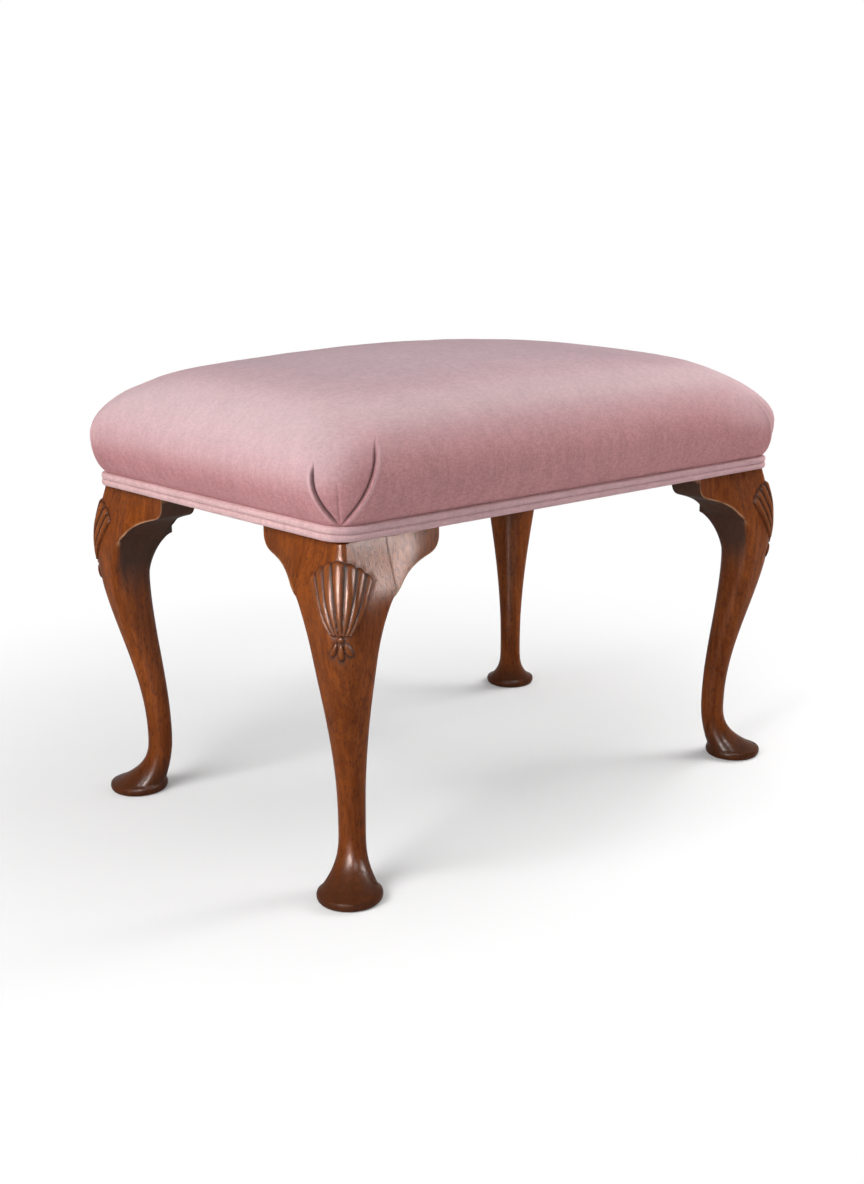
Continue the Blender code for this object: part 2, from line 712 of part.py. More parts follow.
def welt_section():
    """Outline of the two cords side by side in one strip: distance out from the cover, and height."""
    half_depth = WELT_CORD_DEPTH / 2
    half_height = WELT_CORD_HEIGHT / 2
    points = []
    for cord in (0, 1):
        middle = half_height + cord * WELT_CORD_HEIGHT
        for turn in WELT_TURNS:
            angle = math.radians(turn)
            points.append((half_depth + half_depth * math.cos(angle), middle + half_height * math.sin(angle)))
        if cord == 0:
            points.append((half_depth + WELT_SEAM, WELT_CORD_HEIGHT))
    points += [(0.0, 2 * WELT_CORD_HEIGHT - half_height), (0.0, half_height)]
    return points


def welt_mesh(surface):
    section = welt_section()

    def place(column, row):
        away, rise = section[row]
        outset = COVER_OUT + JOINT_GAP + away
        return ring_point(SPOKES[column], outset, COVER_BOTTOM + rise, POST_EDGE + outset, PLEAT_EVEN)[0]

    bm = skin(len(SPOKES), len(section), place, wrap_rows=True)
    return to_mesh(bm, "double_welt", surface, smooth=True)


def corner_frames():
    """An empty at the middle of each pad foot, turned so that its x and y run inwards."""
    frames = []
    for index, name in enumerate(CORNERS):
        frame = add_object(f"corner_{name}", None)
        sign_x, sign_y = CORNER_SIGNS[index]
        frame.location = (
            sign_x * (FRAME_LENGTH / 2 - FOOT_INSET),
            sign_y * (FRAME_DEPTH / 2 - FOOT_INSET),
            0.0,
        )
        frame.rotation_euler = (0.0, 0.0, math.pi / 2 * index)
        frames.append(frame)
    return frames


def build_legs(frames, show_wood):
    legs = leg_mesh(show_wood)
    blocks = [block_mesh(show_wood, mirrored) for mirrored in (False, True)]
    for index, name in enumerate(CORNERS):
        add_object(f"leg_{name}", legs, frames[index])
        for mirrored, block in enumerate(blocks):
            rail = RAILS[(index - mirrored) % 4]
            add_object(f"knee_block_{name}_on_{rail}", block, frames[index])


def build_rails(rail_wood):
    lengths = (FRAME_LENGTH, FRAME_DEPTH)
    meshes = [rail_mesh(length, rail_wood) for length in lengths]
    for index, name in enumerate(RAILS):
        rail = add_object(f"seat_rail_{name}", meshes[index % 2])
        reach = lengths[1 - index % 2] / 2 - RAIL_THICKNESS / 2
        turn = math.pi / 2 * index
        rail.rotation_euler = (0.0, 0.0, turn)
        rail.location = (reach * math.sin(turn), -reach * math.cos(turn), 0.0)


def build_braces(frames, rail_wood, steel):
    brace = brace_mesh(rail_wood)
    screw = screw_mesh(steel)
    head = RAIL_SIDE + SCREW_GRIP
    for index, name in enumerate(CORNERS):
        add_object(f"corner_brace_{name}", brace, frames[index])
        for mirrored in (0, 1):
            rail = RAILS[(index - mirrored) % 4]
            piece = add_object(f"brace_screw_{name}_to_{rail}", screw, frames[index])
            place = (POST_SIDE + SCREW_SIDE, head)
            piece.location = (*(place[::-1] if mirrored else place), BRACE_MIDDLE)
            piece.rotation_euler = (0.0, math.pi / 2, 0.0) if mirrored else (-math.pi / 2, 0.0, 0.0)


def build_webbing(jute):
    rows = web_places(WEB_LENGTHWAYS, FRAME_DEPTH - 2 * RAIL_THICKNESS)
    columns = web_places(WEB_CROSSWAYS, FRAME_LENGTH - 2 * RAIL_THICKNESS)
    for index, offset in enumerate(rows):
        mesh = web_mesh(jute, FRAME_LENGTH, columns, index % 2 == 0, True, offset)
        add_object(f"webbing_lengthways_{index + 1}", mesh)
    for index, offset in enumerate(columns):
        mesh = web_mesh(jute, FRAME_DEPTH, rows, index % 2 == 1, False, offset)
        add_object(f"webbing_crossways_{index + 1}", mesh)


def build_cloths(hessian, cambric):
    half_x = FRAME_LENGTH / 2 - HESSIAN_EDGE
    half_y = FRAME_DEPTH / 2 - HESSIAN_EDGE
    sheet = box((-half_x, -half_y, HESSIAN_BOTTOM), (half_x, half_y, HESSIAN_BOTTOM + HESSIAN_THICKNESS))
    add_object("hessian_sheet", to_mesh(sheet, "hessian_sheet", hessian))
    top = LEG_HEIGHT - JOINT_GAP
    dust = prism(dust_outline(), top - DUST_THICKNESS, top)
    add_object("dust_cover", to_mesh(dust, "dust_cover", cambric))


def build_seat(foam, wadding, velvet, welt_velvet):
    add_object("seat_foam", foam_mesh(foam))
    add_object("wadding", wadding_mesh(wadding))
    add_object("seat_cover", cover_mesh(velvet))
    add_object("double_welt", welt_mesh(welt_velvet))


def main():
    clear_scene()
    show_wood = material("polished_mahogany", (0.22, 0.085, 0.035), 0.35)
    rail_wood = material("beech", (0.55, 0.38, 0.22), 0.6)
    steel = material("zinc_steel", (0.62, 0.62, 0.6), 0.35, 1.0)
    jute = material("jute", (0.45, 0.33, 0.2), 0.9)
    hessian = material("hessian", (0.42, 0.32, 0.2), 0.95)
    cambric = material("black_cambric", (0.02, 0.02, 0.022), 0.9)
    foam = material("foam", (0.82, 0.76, 0.6), 0.95)
    wadding = material("wadding", (0.85, 0.85, 0.83), 1.0)
    velvet = material("rose_velvet", (0.46, 0.27, 0.29), 0.85)
    welt_velvet = material("welt_velvet", (0.52, 0.32, 0.34), 0.85)
    frames = corner_frames()
    build_legs(frames, show_wood)
    build_rails(rail_wood)
    build_braces(frames, rail_wood, steel)
    build_webbing(jute)
    build_cloths(hessian, cambric)
    build_seat(foam, wadding, velvet, welt_velvet)


main()
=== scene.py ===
"""The vanity stool dressed for view: carved mahogany legs, rose velvet seat, welt and underside.

Metres, +Z up, in the part's own frame: the long side runs along X and the front is towards -Y.
A leg and its two knee blocks are shaped once at a corner of their own, with the middle of the pad
foot at the origin and x and y running inwards, and are then turned into each of the four corners.
"""

import math

import bmesh
import bpy
from mathutils import Matrix, Vector, noise
from mathutils.kdtree import KDTree


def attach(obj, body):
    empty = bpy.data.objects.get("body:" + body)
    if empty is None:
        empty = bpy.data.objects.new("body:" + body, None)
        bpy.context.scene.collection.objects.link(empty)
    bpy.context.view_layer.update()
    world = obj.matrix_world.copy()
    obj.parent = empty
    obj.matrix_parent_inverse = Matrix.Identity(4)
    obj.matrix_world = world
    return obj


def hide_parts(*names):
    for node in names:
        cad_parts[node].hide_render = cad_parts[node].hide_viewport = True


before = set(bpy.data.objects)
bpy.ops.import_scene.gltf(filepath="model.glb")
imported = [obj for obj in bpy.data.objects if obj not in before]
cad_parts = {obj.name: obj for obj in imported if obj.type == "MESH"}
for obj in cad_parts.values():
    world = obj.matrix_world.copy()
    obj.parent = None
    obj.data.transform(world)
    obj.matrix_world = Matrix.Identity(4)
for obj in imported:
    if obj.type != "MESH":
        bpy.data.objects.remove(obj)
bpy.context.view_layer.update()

# Camera, in pixels of the 864 by 1184 picture where no unit is given
PICTURE_HEIGHT = 1184
FOCAL_LENGTH = 1460.6
CAMERA_PLACE = (-1.0526, -1.1714, 0.6050)
CAMERA_YAW = math.radians(42.37)
CAMERA_PITCH = math.radians(14.431)
OPTICAL_CENTRE = (23.6, 8.4)

# Light: the direction of the white backdrop, and the light that comes from all round
BACKDROP = (0.67, 0.74, 0.0)
AMBIENT = 0.27
FLOOR_GAP = 0.0002
WHITE = (1.0, 1.0, 1.0, 1.0)
FLOOR_FADE = (0.42, 0.95)
# Softboxes light the stool and aren't mirrored: place, aim, size, brightness
SOFTBOXES = {
    "left_softbox": ((-2.15, -0.20, 1.70), (0.0, 0.0, 0.30), (1.5, 1.5), 7.4),
    "right_softbox": ((1.40, -1.0, 1.0), (0.15, -0.1, 0.35), (0.9, 0.9), 2.8),
    "end_softbox": ((1.25, -0.35, 1.05), (0.30, -0.15, 0.40), (0.9, 0.9), 5.4),
    "top_softbox": ((0.1, 0.3, 2.5), (0.0, 0.0, 0.3), (2.2, 2.0), 0.25),
}
# Reflectors only show as highlights on the polish
REFLECTORS = {
    "near_reflector": ((0.096, -0.534, 0.386), (-0.25, -0.20, 0.31), (0.24, 0.12), 64.0),
    "low_reflector": ((-1.25, -0.62, 0.12), (-0.30, -0.20, 0.33), (0.45, 0.22), 25.0),
    "corner_reflector": ((-0.66, -0.41, 0.37), (-0.29, -0.19, 0.33), (0.15, 0.24), 160.0),
    "left_glint": ((-1.60, -0.60, 1.60), (-0.29, -0.19, 0.05), (0.26, 0.16), 180.0),
    "right_glint": ((-0.40, -1.60, 1.60), (-0.29, -0.19, 0.05), (0.26, 0.16), 180.0),
}

# Colours, as red, green and blue in linear light; a pair runs from the darker to the lighter
WOOD_PLAIN = (0.2, 0.058, 0.014)
WOOD_STRIPES = ((0.152, 0.036, 0.0056), (0.255, 0.065, 0.0100))
WOOD_CLOUDS = ((0.80, 0.74, 0.72), (1.10, 1.06, 1.0))
WOOD_PORES = (0.040, 0.014, 0.006)
WOOD_FOOT = (0.048, 0.017, 0.008)
WOOD_CREST = (0.25, 0.092, 0.034)
WOOD_RECESS = (0.022, 0.009, 0.005)
WOOD_INSIDE_SHADED = (0.042, 0.020, 0.012)
WOOD_RUBBED = (0.50, 0.29, 0.16)
BEECH = ((0.42, 0.27, 0.145), (0.55, 0.38, 0.22))
BEECH_PORES = (0.22, 0.12, 0.06)
ROSE = ((0.365, 0.150, 0.157), (0.53, 0.242, 0.252))
ROSE_LIT_ROLL = ((0.48, 0.290, 0.304), (0.61, 0.373, 0.391))
ROSE_LIT_PILE = ((0.53, 0.385, 0.402), (0.66, 0.475, 0.497))
ROSE_TOP_SHEEN_SHADE = ((0.395, 0.279, 0.304), (0.515, 0.364, 0.396))
ROSE_LIP_HIGHLIGHT = (0.66, 0.42, 0.44)
ROSE_FOLD_SHADE = (0.075, 0.018, 0.022)
ROSE_SHEEN = (1.0, 0.90, 0.93, 1.0)
# The welt's velvet: the cover's velvet painted paler for the light it catches
WELT_ROSE_LIT = ((0.51, 0.310, 0.312), (0.70, 0.455, 0.457))
CAMBRIC = ((0.004, 0.004, 0.004), (0.016, 0.016, 0.018))
HESSIAN = ((0.1, 0.07, 0.04), (0.42, 0.32, 0.2))
JUTE = ((0.16, 0.1, 0.05), (0.45, 0.33, 0.2))
FOAM = ((0.66, 0.58, 0.42), (0.82, 0.76, 0.6))
WADDING = ((0.66, 0.66, 0.64), (0.85, 0.85, 0.83))
ZINC_PLAIN = (0.62, 0.62, 0.6)
ZINC = ((0.46, 0.46, 0.45), (0.68, 0.68, 0.66))

# Frame of the stool
FRAME_LENGTH = 0.604
FRAME_DEPTH = 0.404
LEG_HEIGHT = 0.341
RAIL_TOP = 0.389
RAIL_THICKNESS = 0.024
TENON = (0.022, 0.009, 0.008)
JOINT_GAP = 0.0003
CORNERS = ("front_left", "front_right", "rear_right", "rear_left")
CORNER_SIGNS = ((-1, -1), (1, -1), (1, 1), (-1, 1))
RAILS = ("front", "right", "rear", "left")
# Half a side's length, its distance from the middle, and 1 or -1 for the order of x and y
FRAME_SIDES = (
    (FRAME_LENGTH / 2, FRAME_DEPTH / 2, 1),
    (FRAME_DEPTH / 2, FRAME_LENGTH / 2, -1),
)

# Leg
POST_SIZE = 0.050
FOOT_INSET = 0.0144
POST_SIDE = POST_SIZE - FOOT_INSET
POST_EDGE = 0.018
HEAD_EDGE = 0.007
HEAD_STEP = 0.002
KNEE_DROP = 0.068
KNEE_SWELL = 0.0151
KNEE_FULLNESS = 1.3
ROUNDING_DROP = 0.094
HOLLOW_DROP = 0.109
HOLLOW_INNER = 0.0235
HOLLOW_FLARE = 2.2
SIDE_EASE = 0.5
INSIDE_EASE = 0.5
ANKLE_LEVEL = 0.062
ANKLE_OUTER = -0.0054
ANKLE_INNER = 0.0312
SHIN_LEAN = 0.9
SHIN_SQUARE = 0.190
INSTEP_OUTER = 0.0253
INSTEP_SWEEP = 3.0
HEEL_INNER = 0.0285
PAD_RADIUS = 0.031
PAD_ROUND = 0.0035
PAD_THICKNESS = 0.0105
PAD_TURN = 140.0
# The leg's grid: columns in each stretch from the front corner round to the inner one, then rows
LEG_COLUMNS = (22, 52, 6, 8, 5)
FACE_CROWDING = 1.2
ALIGNED_ABOVE = 0.245
EVEN_BELOW = 0.200
HEAD_ROWS = 8
HEAD_PITCH = 0.0014
CARVED_ROWS = 132
CARVED_DROP = 0.105
SHIN_ROWS = 46
FOOT_ROWS = 26
FOOT_CROWDING = 1.4
PAD_ROWS = 12
# Unpolished wood and painted shade between the leg and the frame's inside: where it starts, by
# height
UNPOLISHED_AND_SHADED_INSIDE = (0.215, 0.268)
WORN_ARRIS = 0.007
LOST_ARRIS = 0.002

# Carving on the knee: drops below the rail, and distances round the corner from its middle
CARVED_BAND = (0.008, 0.110)
CARVED_REACH = 0.060
SHELL_RIBS = 7
SHELL_TOP = 0.0157
SHELL_SHOULDER = 0.019
SHELL_BASE = 0.081
SHELL_FOOT_WIDTH = 0.008
SHELL_SPREAD = 0.028
SHELL_SPREAD_DROP = 0.046
SHELL_FLARE = 0.8
SHELL_LEAN = 0.0018
SHELL_LEAN_DROP = 0.06
SHELL_FULL_WIDTH = 0.036
SHELL_NOSE = 0.0035
SIDE_ROUND = 0.0008
BASE_ROUND = 0.0012
TOP_SCALLOP = 0.0015
BASE_SCALLOP = 0.0012
RIB_RISE = 0.0019
SHELL_RISE = 0.0009
GROUND_SINK = 0.00045
GROUND_REACH = 0.0026
CUT_WIDTH = 0.0009
CUT_OUTSIDE = 0.0002
CUT_SHADE = 0.85
PETAL_CUT = 0.0010
PETAL_SHADE = 0.9
PETAL_GROUND = 0.002
# Petals and knot: middle across, middle drop, half width, half length, tilt, rise
PETALS = (
    (0.0000, 0.0836, 0.0046, 0.0029, 0.0, 0.0017),
    (0.0000, 0.0955, 0.0038, 0.0084, 0.0, 0.0020),
    (-0.0064, 0.0935, 0.0034, 0.0074, -0.37, 0.0019),
    (0.0064, 0.0930, 0.0037, 0.0073, 0.37, 0.0019),
)

# Knee blocks
BLOCK_DROP = 0.052
BLOCK_THICKNESS = 0.040
BLOCK_ROWS = 15
EAR_REACH = 0.0635
EAR_END = 0.0075
EAR_DROP = 0.0244
EAR_NOSE = 0.0125
EAR_SLOPE = math.radians(15.0)
TIP_WIDTH = 0.008
TIP_RISE = 0.0066
TIP_SLOPE = math.radians(48.0)
NOSE_PULLS = (0.0105, 0.0070)
CAVETTO_PULLS = (0.0200, 0.0160)
UNDERSIDE = (0.04, 0.3, 0.65, 1.0)
ARRIS = 0.0008
SEAM_EASING = 0.00015
BLOCK_SEAM = 0.00006

# Seat cover
COVER_OUT = 0.0020
COVER_THICKNESS = 0.0015
COVER_BOTTOM = LEG_HEIGHT + JOINT_GAP
TUCK_LEVEL = 0.3535
BULGE_LEVEL = 0.3945
BULGE_OUT = 0.0205
BULGE_CORNER = 0.050
SWELL_POWER = 0.8
ROLL_WIDTH = 0.068
ROLL_RISE = 0.057
ROLL_POWER = 1.63
ROLL_SOFTNESS = 0.015
TOP_CORNER = 0.066
CROWN = 0.0312
# How much squarer the stuffing's shoulder is at each corner, in the order of the seat's spokes
SHOULDERS = (0.1, 0.34, 0.0, 0.05)
SPOKE_SIGNS = ((1, 1), (-1, 1), (-1, -1), (1, -1))
INSIDE_FOLD = (
    0.012, 0.026, 0.045, 0.07, 0.10, 0.14, 0.19, 0.26, 0.34, 0.45, 0.58, 0.7, 0.8, 0.87, 0.92, 0.96,
)
OUTSIDE_FOLD = (0.025, 0.055, 0.09, 0.14, 0.2, 0.28, 0.38, 0.5, 0.65, 0.82, 1.0)
SIDE_SPOKES = (44, 28)
LINING_ROWS = (3.0, 2.35, 2.0, 1.7, 1.5, 1.3, 1.15, 1.0, 0.8, 0.6, 0.45, 0.3, 0.15, 0.04, -1.0)
SLACK = ((17.0, 0.0006), (48.0, 0.00025))

# Corner pleats: how far a fold runs out from the corner, over what rise, and where it fades
SHORT_FOLD = (0.0240, 0.044, 0.399, 0.411)
LONG_FOLD = (0.0330, 0.058, 0.413, 0.428)
FOLD_START = (TUCK_LEVEL - 0.002, TUCK_LEVEL + 0.007)
FOLD_FULL = 0.014
FOLD_DEPTH = 0.0024
FOLD_LIP = 0.0016
FOLD_EDGE = 0.4
FOLD_ROUND = 0.0007
FOLD_CREASE = 0.0007
FOLD_SLOPE = 0.0010
FOLD_SHADE = 0.10
FOLD_SHADE_RUN = 0.002
# The lip beside a fold: its middle and width, and those of the painted highlight along it
LIP_RIDGE = (0.0020, 0.0032)
LIP_HIGHLIGHT = (0.0026, 0.0017)
LIP_FADE = 0.004
WEDGE_SINK = 0.0012
WEDGE_FADE = (SHORT_FOLD[2] - 0.006, SHORT_FOLD[3])
CREASE_DEPTH = 0.0010
CREASE_WIDTH = 0.0013
CREASE_TOP = 0.402
CREASE_FADE = 0.022
CREASE_START = 0.004

# Painted light and shade on the pile: steps of the seat's profile between which they change
ROLL_FROM = 1.05
END_ROLL_FROM = 0.45
ROLL_FULL = 1.68
TOP_SPAN = (1.62, 2.4)
LIT_PILE_SPAN = (2.6, 2.0)
# Middle, width and strength of the painted highlight along the upper edge
EDGE_HIGHLIGHT = (1.74, 0.26, 0.75)
# Distances from the seat's middle between which the ends and their painted light change,
# and the painted shadow across the top
LEFT_LIT_PILE = (0.20, 0.31)
RIGHT_LIT_PILE = (0.17, 0.30)
RIGHT_LOWER = (0.12, 0.30)
END_TURN = (-0.06, 0.04)
TOP_SHADOW = (-0.18, 0.03)
TOP_SHADE = 0.14

# Cloth simulation on a coarse copy of the cover
CLOTH_ARC = 5
CLOTH_SIDE = 16
CLOTH_STEPS = (
    0.0, 0.1, 0.22, 0.36, 0.5, 0.65, 0.82, 1.0, 1.12, 1.25, 1.38, 1.5, 1.62,
    1.74, 1.86, 2.0, 2.1, 2.22, 2.35, 2.5, 2.66, 2.83, 3.0,
)
CLOTH_FRAMES = 20
CLOTH_SETTINGS = {
    "quality": 8, "mass": 0.25, "tension_stiffness": 80.0, "compression_stiffness": 80.0,
    "shear_stiffness": 40.0, "bending_stiffness": 4.0, "use_pressure": True,
    "uniform_pressure_force": 4.0, "vertex_group_mass": "held",
}
SWELL_SHARE = 0.2
SWELL_CAP = 0.002

# Double welt
WELT_CORD_HEIGHT = 0.0064
WELT_CORD_DEPTH = 0.0055
WELT_SEAM = 0.0005
WELT_LEDGE = 0.0012
WELT_SHADE = 0.16
WELT_GROOVE = 0.32
WELT_ARC = 12
WELT_SIDES = (61, 41)
WELT_LUMP = 0.00010
WELT_LAP = 0.0004
WELT_LAP_SHARE = 0.012

# Underside: a notch in the dust cover runs in from the frame's edge to clear post, block and ear
DUST_EDGE = 0.010
DUST_THICKNESS = 0.0006
DUST_CLOTH = DUST_THICKNESS * 0.8
DUST_CLEARANCE = 0.0005
DUST_SAG = 0.0022
DUST_SLACK_FROM = 0.016
DUST_SLACK_RUN = 0.10
DUST_PITCH = 0.011
HEM_WIDTH = (0.012, 0.0126)
HEM_DROP = 0.00035
NOTCH_BLOCK = BLOCK_THICKNESS + DUST_CLEARANCE
NOTCH_POST = POST_SIZE + DUST_CLEARANCE
NOTCH_EAR = POST_SIZE + EAR_REACH + DUST_CLEARANCE
STAPLE_PITCH = 0.031
STAPLE = (0.0095, 0.0011, 0.0005)
STAPLE_EDGE = 0.00014
STAPLE_INSET = 0.0055
STAPLE_END = 0.012
STAPLE_SKEW = 0.16
STAPLE_STRAY = (0.002, 0.0012)
TURN_THICKNESS = 0.0006
TURN_EDGE = 0.00022
TURN_GAP = 0.0001
TURN_CLEARANCE = 0.0006
TURN_OVERLAP = 0.0004

# Stuffing and the platform of webbing under it
WEB_WIDTH = 0.050
WEB_THICKNESS = 0.0016
WEB_LENGTHWAYS = 4
WEB_CROSSWAYS = 6
WEB_EDGE = 0.006
WEB_LIFT = (WEB_THICKNESS + JOINT_GAP) / 2
WEB_LOW = RAIL_TOP + JOINT_GAP + WEB_THICKNESS / 2
WEB_PITCH = 0.006
WEB_THINNED = 0.75
HESSIAN_THICKNESS = 0.0008
HESSIAN_CLOTH = HESSIAN_THICKNESS * 0.7
HESSIAN_EDGE = 0.006
HESSIAN_GRID = (66, 44)
HESSIAN_PUCKER = 0.00012
HESSIAN_BOTTOM = WEB_LOW + 2 * WEB_LIFT + WEB_THICKNESS / 2 + JOINT_GAP
FOAM_BOTTOM = HESSIAN_BOTTOM + HESSIAN_THICKNESS + JOINT_GAP
WADDING_FIT = 0.0008
WADDING_THICKNESS = 0.008
WADDING_DEPTH = COVER_THICKNESS + JOINT_GAP
FOAM_DEPTH = WADDING_DEPTH + WADDING_THICKNESS + JOINT_GAP
FOAM_ROWS = (1.2, 1.35, 1.5, 1.75, 2.0, 2.35, 3.0)

WELD = 0.000004


def clamp(value, low=0.0, high=1.0):
    return min(max(value, low), high)


def ease(low, high, value):
    """A soft step from 0 at low to 1 at high."""
    share = clamp((value - low) / (high - low))
    return share * share * (3.0 - 2.0 * share)


def bell(value, width):
    """One at nought, falling away on both sides."""
    return math.exp(-((value / width) ** 2))


def blend(start, end, share):
    return start + (end - start) * (1.0 - math.cos(math.pi * clamp(share))) / 2.0


def bezier(points, share):
    start, handle, other, end = (Vector(point) for point in points)
    rest = 1.0 - share
    return (
        start * rest**3
        + handle * 3 * rest**2 * share
        + other * 3 * rest * share**2
        + end * share**3
    )


# Making and showing pieces


def skin(columns, rows, place, marks=(), wrap_rows=False):
    """A closed skin: a grid wrapped round in columns and laid by place(column, row).

    Place gives a point and one value for each named mark, which the finishes read.
    """
    bm = bmesh.new()
    layers = [bm.verts.layers.float.new(mark) for mark in marks]
    bands = rows if wrap_rows else rows - 1
    bmesh.ops.create_grid(bm, x_segments=columns, y_segments=bands, size=0.5)
    for vert in bm.verts:
        column = round((vert.co.x + 0.5) * columns) % columns
        row = round((vert.co.y + 0.5) * bands) % rows
        vert.co, values = place(column, row)
        for layer, value in zip(layers, values):
            vert[layer] = value
    bmesh.ops.remove_doubles(bm, verts=bm.verts, dist=WELD)
    rims = [edge for edge in bm.edges if edge.is_boundary]
    if rims:
        bmesh.ops.holes_fill(bm, edges=rims, sides=0)
    return bm


def add_block(bm, size, middle, turn=0.0):
    """A block of a size about its middle, turned round the upright axis."""
    made = bmesh.ops.create_cube(bm, size=1.0)["verts"]
    bmesh.ops.scale(bm, vec=size, verts=made)
    bmesh.ops.rotate(bm, matrix=Matrix.Rotation(turn, 3, "Z"), verts=made)
    bmesh.ops.translate(bm, vec=middle, verts=made)


def block(low, high):
    bm = bmesh.new()
    add_block(bm, Vector(high) - Vector(low), (Vector(high) + Vector(low)) / 2)
    return bm


def ease_edges(bm, edges, offset, segments, **limits):
    """Edges taken off, and the vertices that this makes."""
    return bmesh.ops.bevel(
        bm, geom=edges, offset=offset, offset_type="OFFSET", segments=segments, profile=0.5,
        affect="EDGES", material=-1, **limits,
    )["verts"]


def face_outwards(bm):
    bmesh.ops.recalc_face_normals(bm, faces=bm.faces)


def bare_mesh(bm, name):
    mesh = bpy.data.meshes.new(name)
    bm.to_mesh(mesh)
    bm.free()
    return mesh


def to_mesh(bm, name, surface, sharp=40.0):
    face_outwards(bm)
    mesh = bare_mesh(bm, name)
    mesh.materials.append(surface)
    mesh.shade_smooth()
    mesh.set_sharp_from_angle(angle=math.radians(sharp))
    return mesh


def in_scene(name, data):
    made = bpy.data.objects.new(name, data)
    bpy.context.scene.collection.objects.link(made)
    return made


def show(name, mesh, slot, *nodes):
    """Puts a finished mesh on the stool, in place of the solids that it stands for."""
    piece = in_scene(name, mesh)
    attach(piece, "root")
    if nodes:
        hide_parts(*nodes)
    return piece


def hollow_out(mesh, cutters):
    """The mesh with each cutter's shape taken out of it."""
    target = in_scene("to_hollow", mesh)
    tools = []
    for cutter in cutters:
        face_outwards(cutter)
        tools.append(in_scene("cutter", bare_mesh(cutter, "cutter")))
        step = target.modifiers.new("hollow", "BOOLEAN")
        step.operation = "DIFFERENCE"
        step.solver = "EXACT"
        step.object = tools[-1]
    graph = bpy.context.evaluated_depsgraph_get()
    result = bpy.data.meshes.new_from_object(target.evaluated_get(graph))
    for spare in [target, *tools]:
        bpy.data.objects.remove(spare)
    return result


def into_corner(mesh, index):
    """A copy of a mesh made at its own corner, turned into one of the stool's corners."""
    placed = mesh.copy()
    sign_x, sign_y = CORNER_SIGNS[index]
    place = (sign_x * (FRAME_LENGTH / 2 - FOOT_INSET), sign_y * (FRAME_DEPTH / 2 - FOOT_INSET), 0.0)
    placed.transform(Matrix.Translation(place) @ Matrix.Rotation(math.pi / 2 * index, 4, "Z"))
    return placed


# Finishes: a shared effect is a node group, and the shader stays in each material


class Nodes:
    """The nodes of a material, of the world or of an effect that materials share."""

    def __init__(self, tree):
        self.tree = tree

    def add(self, kind, links=None, **settings):
        """A new node's outputs, once it has its settings and its inputs are fed."""
        made = self.tree.nodes.new("ShaderNode" + kind)
        for key, value in settings.items():
            setattr(made, key, value)
        for key, value in (links or {}).items():
            self.feed(made.inputs[key], value)
        return made.outputs

    def feed(self, socket, value):
        """Sets an input to a value, or joins it to another node's output."""
        if isinstance(value, bpy.types.NodeSocket):
            self.tree.links.new(value, socket)
        else:
            socket.default_value = value

    def math(self, operation, *values):
        return self.add("Math", dict(enumerate(values)), operation=operation)[0]

    def times(self, value, share):
        return self.math("MULTIPLY", value, share)

    def weighed(self, *parts):
        """The sum of some values, each times its weight."""
        total = self.times(*parts[0])
        for part in parts[1:]:
            total = self.math("ADD", total, self.times(*part))
        return total

    def ramp(self, value, low, high, start=0.0, end=1.0):
        links = {"Value": value, "From Min": low, "From Max": high, "To Min": start, "To Max": end}
        return self.add("MapRange", links, interpolation_type="SMOOTHSTEP")[0]

    def mix(self, factor, first, second, way="MIX"):
        """Two colours mixed, each from a node or given as red, green and blue."""
        links = {0: factor}
        for key, end in ((6, first), (7, second)):
            links[key] = end if isinstance(end, bpy.types.NodeSocket) else (*end, 1.0)
        return self.add("Mix", links, data_type="RGBA", blend_type=way)[2]

    def layers(self, colour, *tones):
        """Tones laid over a colour in turn, each where its amount is and at a share of it."""
        for amount, share, tone in tones:
            colour = self.mix(self.times(amount, share), colour, tone)
        return colour

    def turned(self, vector, turn=(0.0, 0.0, 0.0), stretch=(1.0, 1.0, 1.0)):
        return self.add("Mapping", {"Vector": vector, "Scale": stretch, "Rotation": turn})[0]

    def specks(self, vector, scale, detail=2.0, roughness=0.5, distortion=0.0, stretch=None):
        """Noise, drawn out along the axes where the stretch is under one."""
        links = {
            "Vector": self.turned(vector, stretch=stretch) if stretch else vector,
            "Scale": scale, "Detail": detail, "Roughness": roughness, "Distortion": distortion,
        }
        return self.add("TexNoise", links)["Fac"]

    def mark(self, name):
        return self.add("Attribute", attribute_name=name)["Fac"]

    def use(self, effect, **links):
        return self.add("Group", links, node_tree=effect)


class Effect(Nodes):
    """A group that materials share: from a vector, and perhaps a number, to some values."""

    def __init__(self, name, number=None, usual=0.0):
        super().__init__(bpy.data.node_groups.new(name, "ShaderNodeTree"))
        self.socket("Vector", "INPUT", "NodeSocketVector")
        if number:
            self.socket(number, "INPUT", "NodeSocketFloat").default_value = usual
        self.given = self.tree.nodes.new("NodeGroupInput").outputs

    def socket(self, label, way, kind):
        return self.tree.interface.new_socket(name=label, in_out=way, socket_type=kind)

    def give(self, **values):
        for label in values:
            self.socket(label, "OUTPUT", "NodeSocketFloat")
        ends = self.tree.nodes.new("NodeGroupOutput").inputs
        for label, value in values.items():
            self.feed(ends[label], value)
        return self.tree


class Finish(Nodes):
    """A material with its shader, the piece's own coordinates and a plain colour to start from."""

    def __init__(self, name, colour, roughness):
        self.made = bpy.data.materials.new(name)
        self.made.use_nodes = True
        self.made.diffuse_color = (*colour, 1.0)
        super().__init__(self.made.node_tree)
        self.shader = self.tree.nodes["Principled BSDF"].inputs
        self.put({"Base Color": (*colour, 1.0), "Roughness": roughness})
        self.place = self.add("TexCoord")["Object"]

    def put(self, links):
        for key, value in links.items():
            self.feed(self.shader[key], value)

    def done(self, colour, roughness, relief, strength, distance, **others):
        """The material, with its colour, roughness, relief and other settings on the shader."""
        bump = self.add("Bump", {"Height": relief, "Strength": strength, "Distance": distance})[0]
        self.put({"Base Color": colour, "Roughness": roughness, "Normal": bump})
        self.put({key.replace("_", " "): value for key, value in others.items()})
        return self.made


